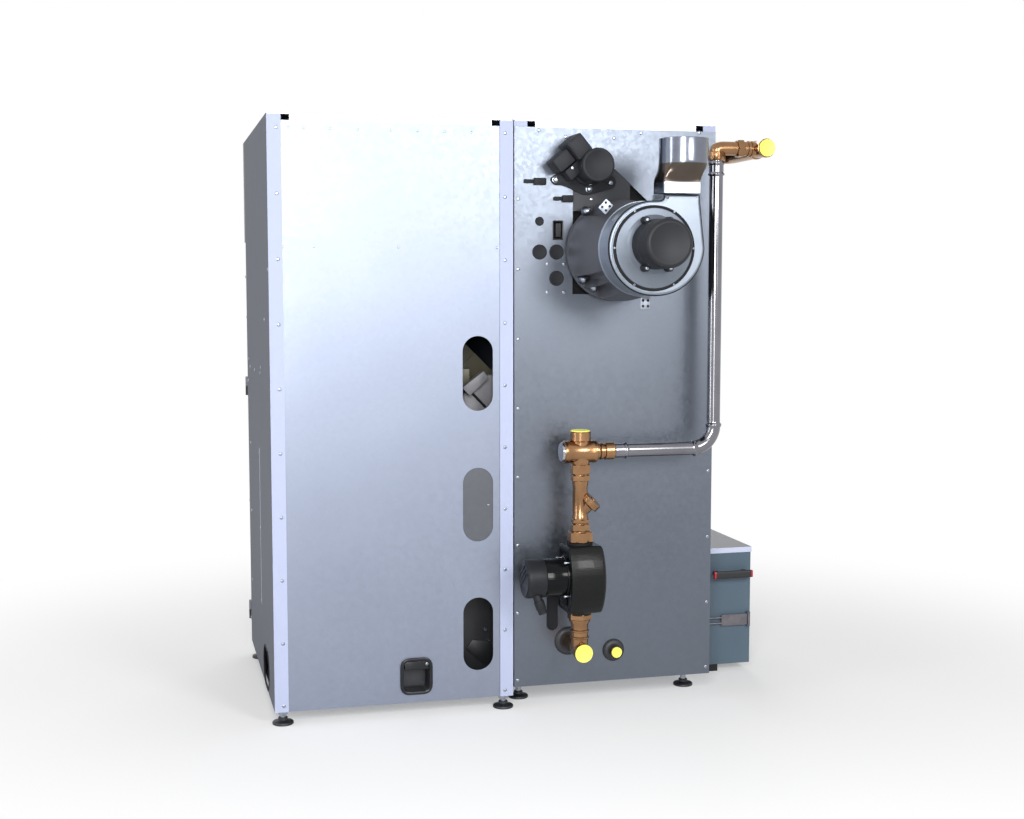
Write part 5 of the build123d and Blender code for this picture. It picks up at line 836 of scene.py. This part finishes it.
stack_grids = []
for low, high, flats in ((457, 484.5, 58), (485.5, 504, 44), (506, 517, 42), (614.5, 630.5, 44),
                         (633, 658, 46), (255, 273, 56)):
    sleeve = flats / 2 - 4
    stack_grids.append(turned(hexagon_nut(low, high, flats), stack_axis, upward, 60, six_flats(flats)))
    stack_grids.append(turned([(low - 1.5, 0), (low - 1.5, sleeve), (high + 1.5, sleeve), (high + 1.5, 0)],
                              stack_axis, upward, 48))
piece("union_nuts_and_adapters", stack_grids, bronze, "union_nuts", sharp=25)
slant = np.array([-0.68, 0.26, 0.68])
strainer_rows = [(516, 0), (516, 20.5), (524, 20.5), (527, 19), (560, 20), (600, 19), (604, 20.5),
                 (615, 20.5), (615, 0)]
branch_rows = [(0, 0), (0, 17), (24, 17), (26, 20), (27, 26), (28.5, 27), (29.5, 25.6), (43, 25.6), (45, 24),
               (45.3, 10), (47, 9), (47, 0)]
piece("slanted_strainer", [turned(strainer_rows, stack_axis, upward, 64),
                           turned(branch_rows, (-152, 100, 536), slant, 64)], bronze, "strainer",
      sharp=30)
valve_axis = (0, 100, 690)
valve_rows = [(-191.5, 0), (-191.5, 27), (-189.5, 28.8), (-182, 29.2), (-180, 28.2), (-118, 28.2),
              (-116, 29.2), (-106, 29.2), (-104, 27), (-104, 0)]
port_rows = [(657, 0), (657, 22), (664, 24), (716, 23), (719, 26.5), (740.5, 26.5), (742, 25.2), (742, 23),
             (738, 22.5), (738, 0)]
nipple_rows = [(0, 0), (0, 23.5), (4, 23.5), (5.5, 20.5), (9, 19.5), (11, 22), (16, 22), (18, 19.2),
               (22, 19.2), (24, 22.6), (46, 22.6), (48.5, 21), (50, 19), (50, 0)]
piece("mixing_valve_body", [turned(valve_rows, valve_axis, sideward, 80),
                            turned(port_rows, stack_axis, upward, 72),
                            turned(nipple_rows, (-191, 100, 690), (-1, 0, 0), 72)], bronze,
      "mixing_valve", sharp=30)
chrome = drawn_metal("polished_chrome_plate", "#A9ABB2", "#B3B5BC", 1.0, 0.12, grain=0.01)
piece("mixing_valve_end_cap", [turned([(-105, 0), (-105, 25), (-99.5, 25), (-97.8, 23.6), (-97.6, 20),
                                       (-97.6, 0)], valve_axis, sideward, 72, six_flats(49))], chrome,
      sharp=30)


# Bypass pipe: 35 mm thin-walled steel pipe with a bright plated skin, joined by press fittings.
# Each fitting has a round bead that holds its sealing ring, and the bend is one long-radius elbow.
bend = np.linspace(0, 1, 20)[:, None] * np.pi / 2
bend_path = np.concatenate([
    np.stack([np.linspace(-238, -454, 90), np.full(90, 100.0), np.full(90, 690.0)], -1)[:-1],
    np.concatenate([-454 - 60 * np.sin(bend), np.full_like(bend, 100.0), 750 - 60 * np.cos(bend)], axis=1),
    np.stack([np.full(270, -514.0), np.full(270, 100.0), np.linspace(750, 1433, 270)], -1)[1:]])
run = np.concatenate([[0], np.cumsum(np.linalg.norm(np.diff(bend_path, axis=0), axis=1))])
pipe_angle = np.linspace(0, 2 * np.pi, 48, endpoint=False)
bead_runs = [33, 221, 311, 959, 987]
swell = sum(4.2 * np.exp(-((run - at) / 2.6) ** 4) for at in bead_runs)
sleeve = 1.3 * (((run > 216) & (run < 316)) | (run < 36) | (run > 956))
pipe_radius = 17.5 + np.maximum(swell, sleeve)
pipe_section = pipe_radius[:, None, None] * np.stack([np.cos(pipe_angle), np.sin(pipe_angle)], axis=-1)
bright_steel = drawn_metal("bright_plated_steel_pipe", "#7A7A80", "#86868C", 1.0, 0.11, grain=0.01)
piece("bypass_pipe_run", [carried(bend_path, pipe_section, backward)], bright_steel,
      "bypass_pipe", sharp=60)


# Flow fittings: a bronze elbow with a hexagon socket over the pipe, a union nut, and a tee whose
# one end waits for the flow pipe while the other runs forward into the boiler's side.
tube_angle = np.linspace(0, 2 * np.pi, 48, endpoint=False)


def tube(path, radius, normal):
    """A round section of one radius, or one for each point, carried along a path."""
    radius = np.broadcast_to(radius, len(path))[:, None, None]
    return carried(path, radius * np.stack([np.cos(tube_angle), np.sin(tube_angle)], axis=-1), normal)


def elbow(start, corner, end, radius, steps=14):
    """A line from start to end by way of a corner that is rounded to a radius: the corner's curve, and of
    the rounded start and end only their outermost points."""
    line = soften([start, corner, end], [0.01, radius, 0.01], steps)
    return np.concatenate([line[:1], line[steps:2 * steps], line[3 * steps - 1:3 * steps]])


flow_axis = (0, 100, 1466)
flow_path = elbow((-514, 100, 1452), (-514, 100, 1466), (-642, 100, 1466), 24)
neck_rows = [(588, 0), (588, 18.4), (596, 18.4), (597, 20.4), (602, 20.4), (603, 18.4), (606, 18.4),
             (607, 20.4), (612, 20.4), (614, 18.2), (640, 18.2), (640, 0)]
tee_grids = [tube(flow_path, 17.5, backward),
             turned(hexagon_nut(1434, 1457, 40), (-514, 100, 0), upward, 60, six_flats(40)),
             turned(hexagon_nut(568, 586, 42, 2), flow_axis, (-1, 0, 0), 60, six_flats(42)),
             turned(neck_rows, flow_axis, (-1, 0, 0), 64)]
branch_path = elbow((-637, 138, 1466), (-637, -100, 1466), (-500.5, -100, 1466), 30)
tee_grids.append(tube(branch_path, 22, upward))
tee_grids += [turned([(low, 22), (low + 1, 24), (low + 9, 24), (low + 10, 22), (low + 10, 0), (low, 0)],
                     (-637, 0, 1466), backward, 64) for low in (127, 66)]
piece("flow_elbow_and_tee", tee_grids, bronze, "flow_tee", sharp=30)


# Return fittings: a cast bronze tee on the boiler's return socket under the pump, a small drain
# stub beside it, rubber rosettes where both pass the panel, and yellow caps on every open end.
return_axis, drain_axis = (-150, 0, 173), (-276, 0, 140)
down_rows = [(173, 0), (173, 20), (188, 22), (204, 22), (206, 24.5), (209, 24.5), (211, 22), (222, 22),
             (224, 24.5), (227, 24.5), (229, 22), (244, 23), (250, 27), (255, 28), (255, 0)]
back_rows = [(-60, 0), (-60, 19), (60, 19), (66, 21), (121, 21), (125, 23.8), (136, 23.8), (138.8, 22.5),
             (138.8, 0)]
piece("return_tee", [turned(down_rows, stack_axis, upward, 64),
                     turned(back_rows, return_axis, backward, 64)], bronze,
      "return_fittings", sharp=30)
drain_rows = [(-60, 0), (-60, 11), (14, 11), (14, 13), (26, 13), (27.8, 12), (27.8, 0)]
piece("drain_stub", [turned(drain_rows, drain_axis, backward, 48)], bronze, sharp=30)
rosette_rubber = moulded("black_epdm_rosette", "#1D1E22", "#26272C", 0.5)
rosette_grids = []
for x, z, radius, hole in ((-150, 173, 38, 19.2), (-276, 140, 30, 11.2)):
    rows = [(0, hole), (0, radius), (2, radius), (5, radius - 1.6), (8, radius - 5), (9.6, radius - 9),
            (10, hole + 5), (9, hole + 3), (9, hole), (0, hole)]
    rosette_grids.append(turned(rows, (x, 0, z), backward, 64))
piece("panel_rosettes", rosette_grids, rosette_rubber, "wall_rosettes")
cap_yellow = moulded("yellow_polyethylene_cap", "#F0EE62", "#F7F46C", 0.45, grain=0.05)


def cap_shape(low, radius):
    """Rows of a push-in cap: a thin flange with a rolled edge and a shallow dished face."""
    return [(low, 0), (low, radius - 0.8), (low + 0.8, radius), (low + 2.4, radius),
            (low + 3.4, radius - 0.8), (low + 3.6, radius - 2.4), (low + 3.2, radius - 3.4), (low + 3.0, 0)]


cap_grids = [turned(cap_shape(139, 23.5), return_axis, backward, 64),
             turned(cap_shape(28, 14.5), drain_axis, backward, 48),
             turned(cap_shape(742, 24.5), stack_axis, upward, 64),
             turned(cap_shape(139, 22), (-637, 0, 1466), backward, 64)]
piece("yellow_port_caps", cap_grids, cap_yellow, "port_caps")


# Ash box: folded steel sheet with a blue-grey powder coat on two skids, with a grey lid whose faces that look
# back carry a painted highlight. The grip bars are black tubes with red end plugs, and a zinc-plated draw
# latch holds the box to the boiler.
ash_coat = powder_coat("blue_grey_powder_coat", "#4E5E6C", "#576774", 0.48, shine=0.3)
banded(ash_coat, [(22, "#1D1E21")])
dress(ash_coat, "ash_box")
# The lid's faces that look back get a pale colour: painted light.
lid_coat = powder_coat("grey_lid_powder_coat_with_painted_light", "#707278", "#7A7C82", 0.45, painted_light_rear_colour="#C2CAE0")
dress(lid_coat, "ash_lid")
grip_grids, plug_ends = [], []
bar_section = box_outline(24, 36, 279, 300, 4.5, 5)
post_section = box_outline(-8, 8, 283, 296, 3, 4)
grip_middle = -693.8
plug_offset = 59
post_inset = 16
post_reach = 27
for face, side in ((-200, 1), (-700, -1)):
    bar = bar_section * (side, 1) + (face, 0)
    grip_grids.append(plate(bar, [(-747.5, 0), (-640.1, 0)], "x"))
    for end in (-1, 1):
        tip = grip_middle + plug_offset * end
        plug_rows = [(tip - 6 * end, 0), (tip - 1.5 * end, 0), (tip - 0.4 * end, 0.6), (tip, 2)]
        plug_ends.append(plate(bar, plug_rows, "x"))
        post = post_section + (tip - post_inset * end, 0)
        grip_grids.append(plate(post, [(face, 0), (face + side * post_reach, 0)]))
grip_nylon = moulded("black_nylon_grip", "#17181B", "#1F2024", 0.4)
piece("ash_grip_bars", grip_grids, grip_nylon, "ash_grips", body="ash_box")
red_nylon = moulded("red_nylon_plug", "#B3202A", "#C42A33", 0.35, grain=0.05)
piece("ash_grip_end_plugs", plug_ends, red_nylon, body="ash_box")
latch_steel = plated_steel("dull_zinc_plated_latch_steel", "#6C696E", "#7A777C", 0.38)
dress(latch_steel, "ash_latch")


# Front: a moulded black control fascia runs across both cabinets, with one blank touch screen in a
# narrow bezel. Below it each cabinet has a coated door with an upright black grip.
fascia_abs = moulded("black_abs_fascia", "#202126", "#232429", 0.38)
dress(fascia_abs, "front_fascia")
screen_glass = moulded("dark_screen_glass", "#0A0B0E", "#0F1014", 0.06, grain=0.0, coat=1.0)
dress(screen_glass, "display")
for door, side in (("feed_door", 1), ("boiler_door", -1)):
    grip_outline = box_outline(20, 46, 630, 890, 4, 5) * (side, 1)
    grip_rows = [(-794, -0.5), (-805, -0.5), (-808.5, 0.6), (-810.2, 3.2), (-810.4, 6)]
    piece(door + "_grip_cover", [plate(grip_outline, grip_rows)], grip_nylon, body=door)
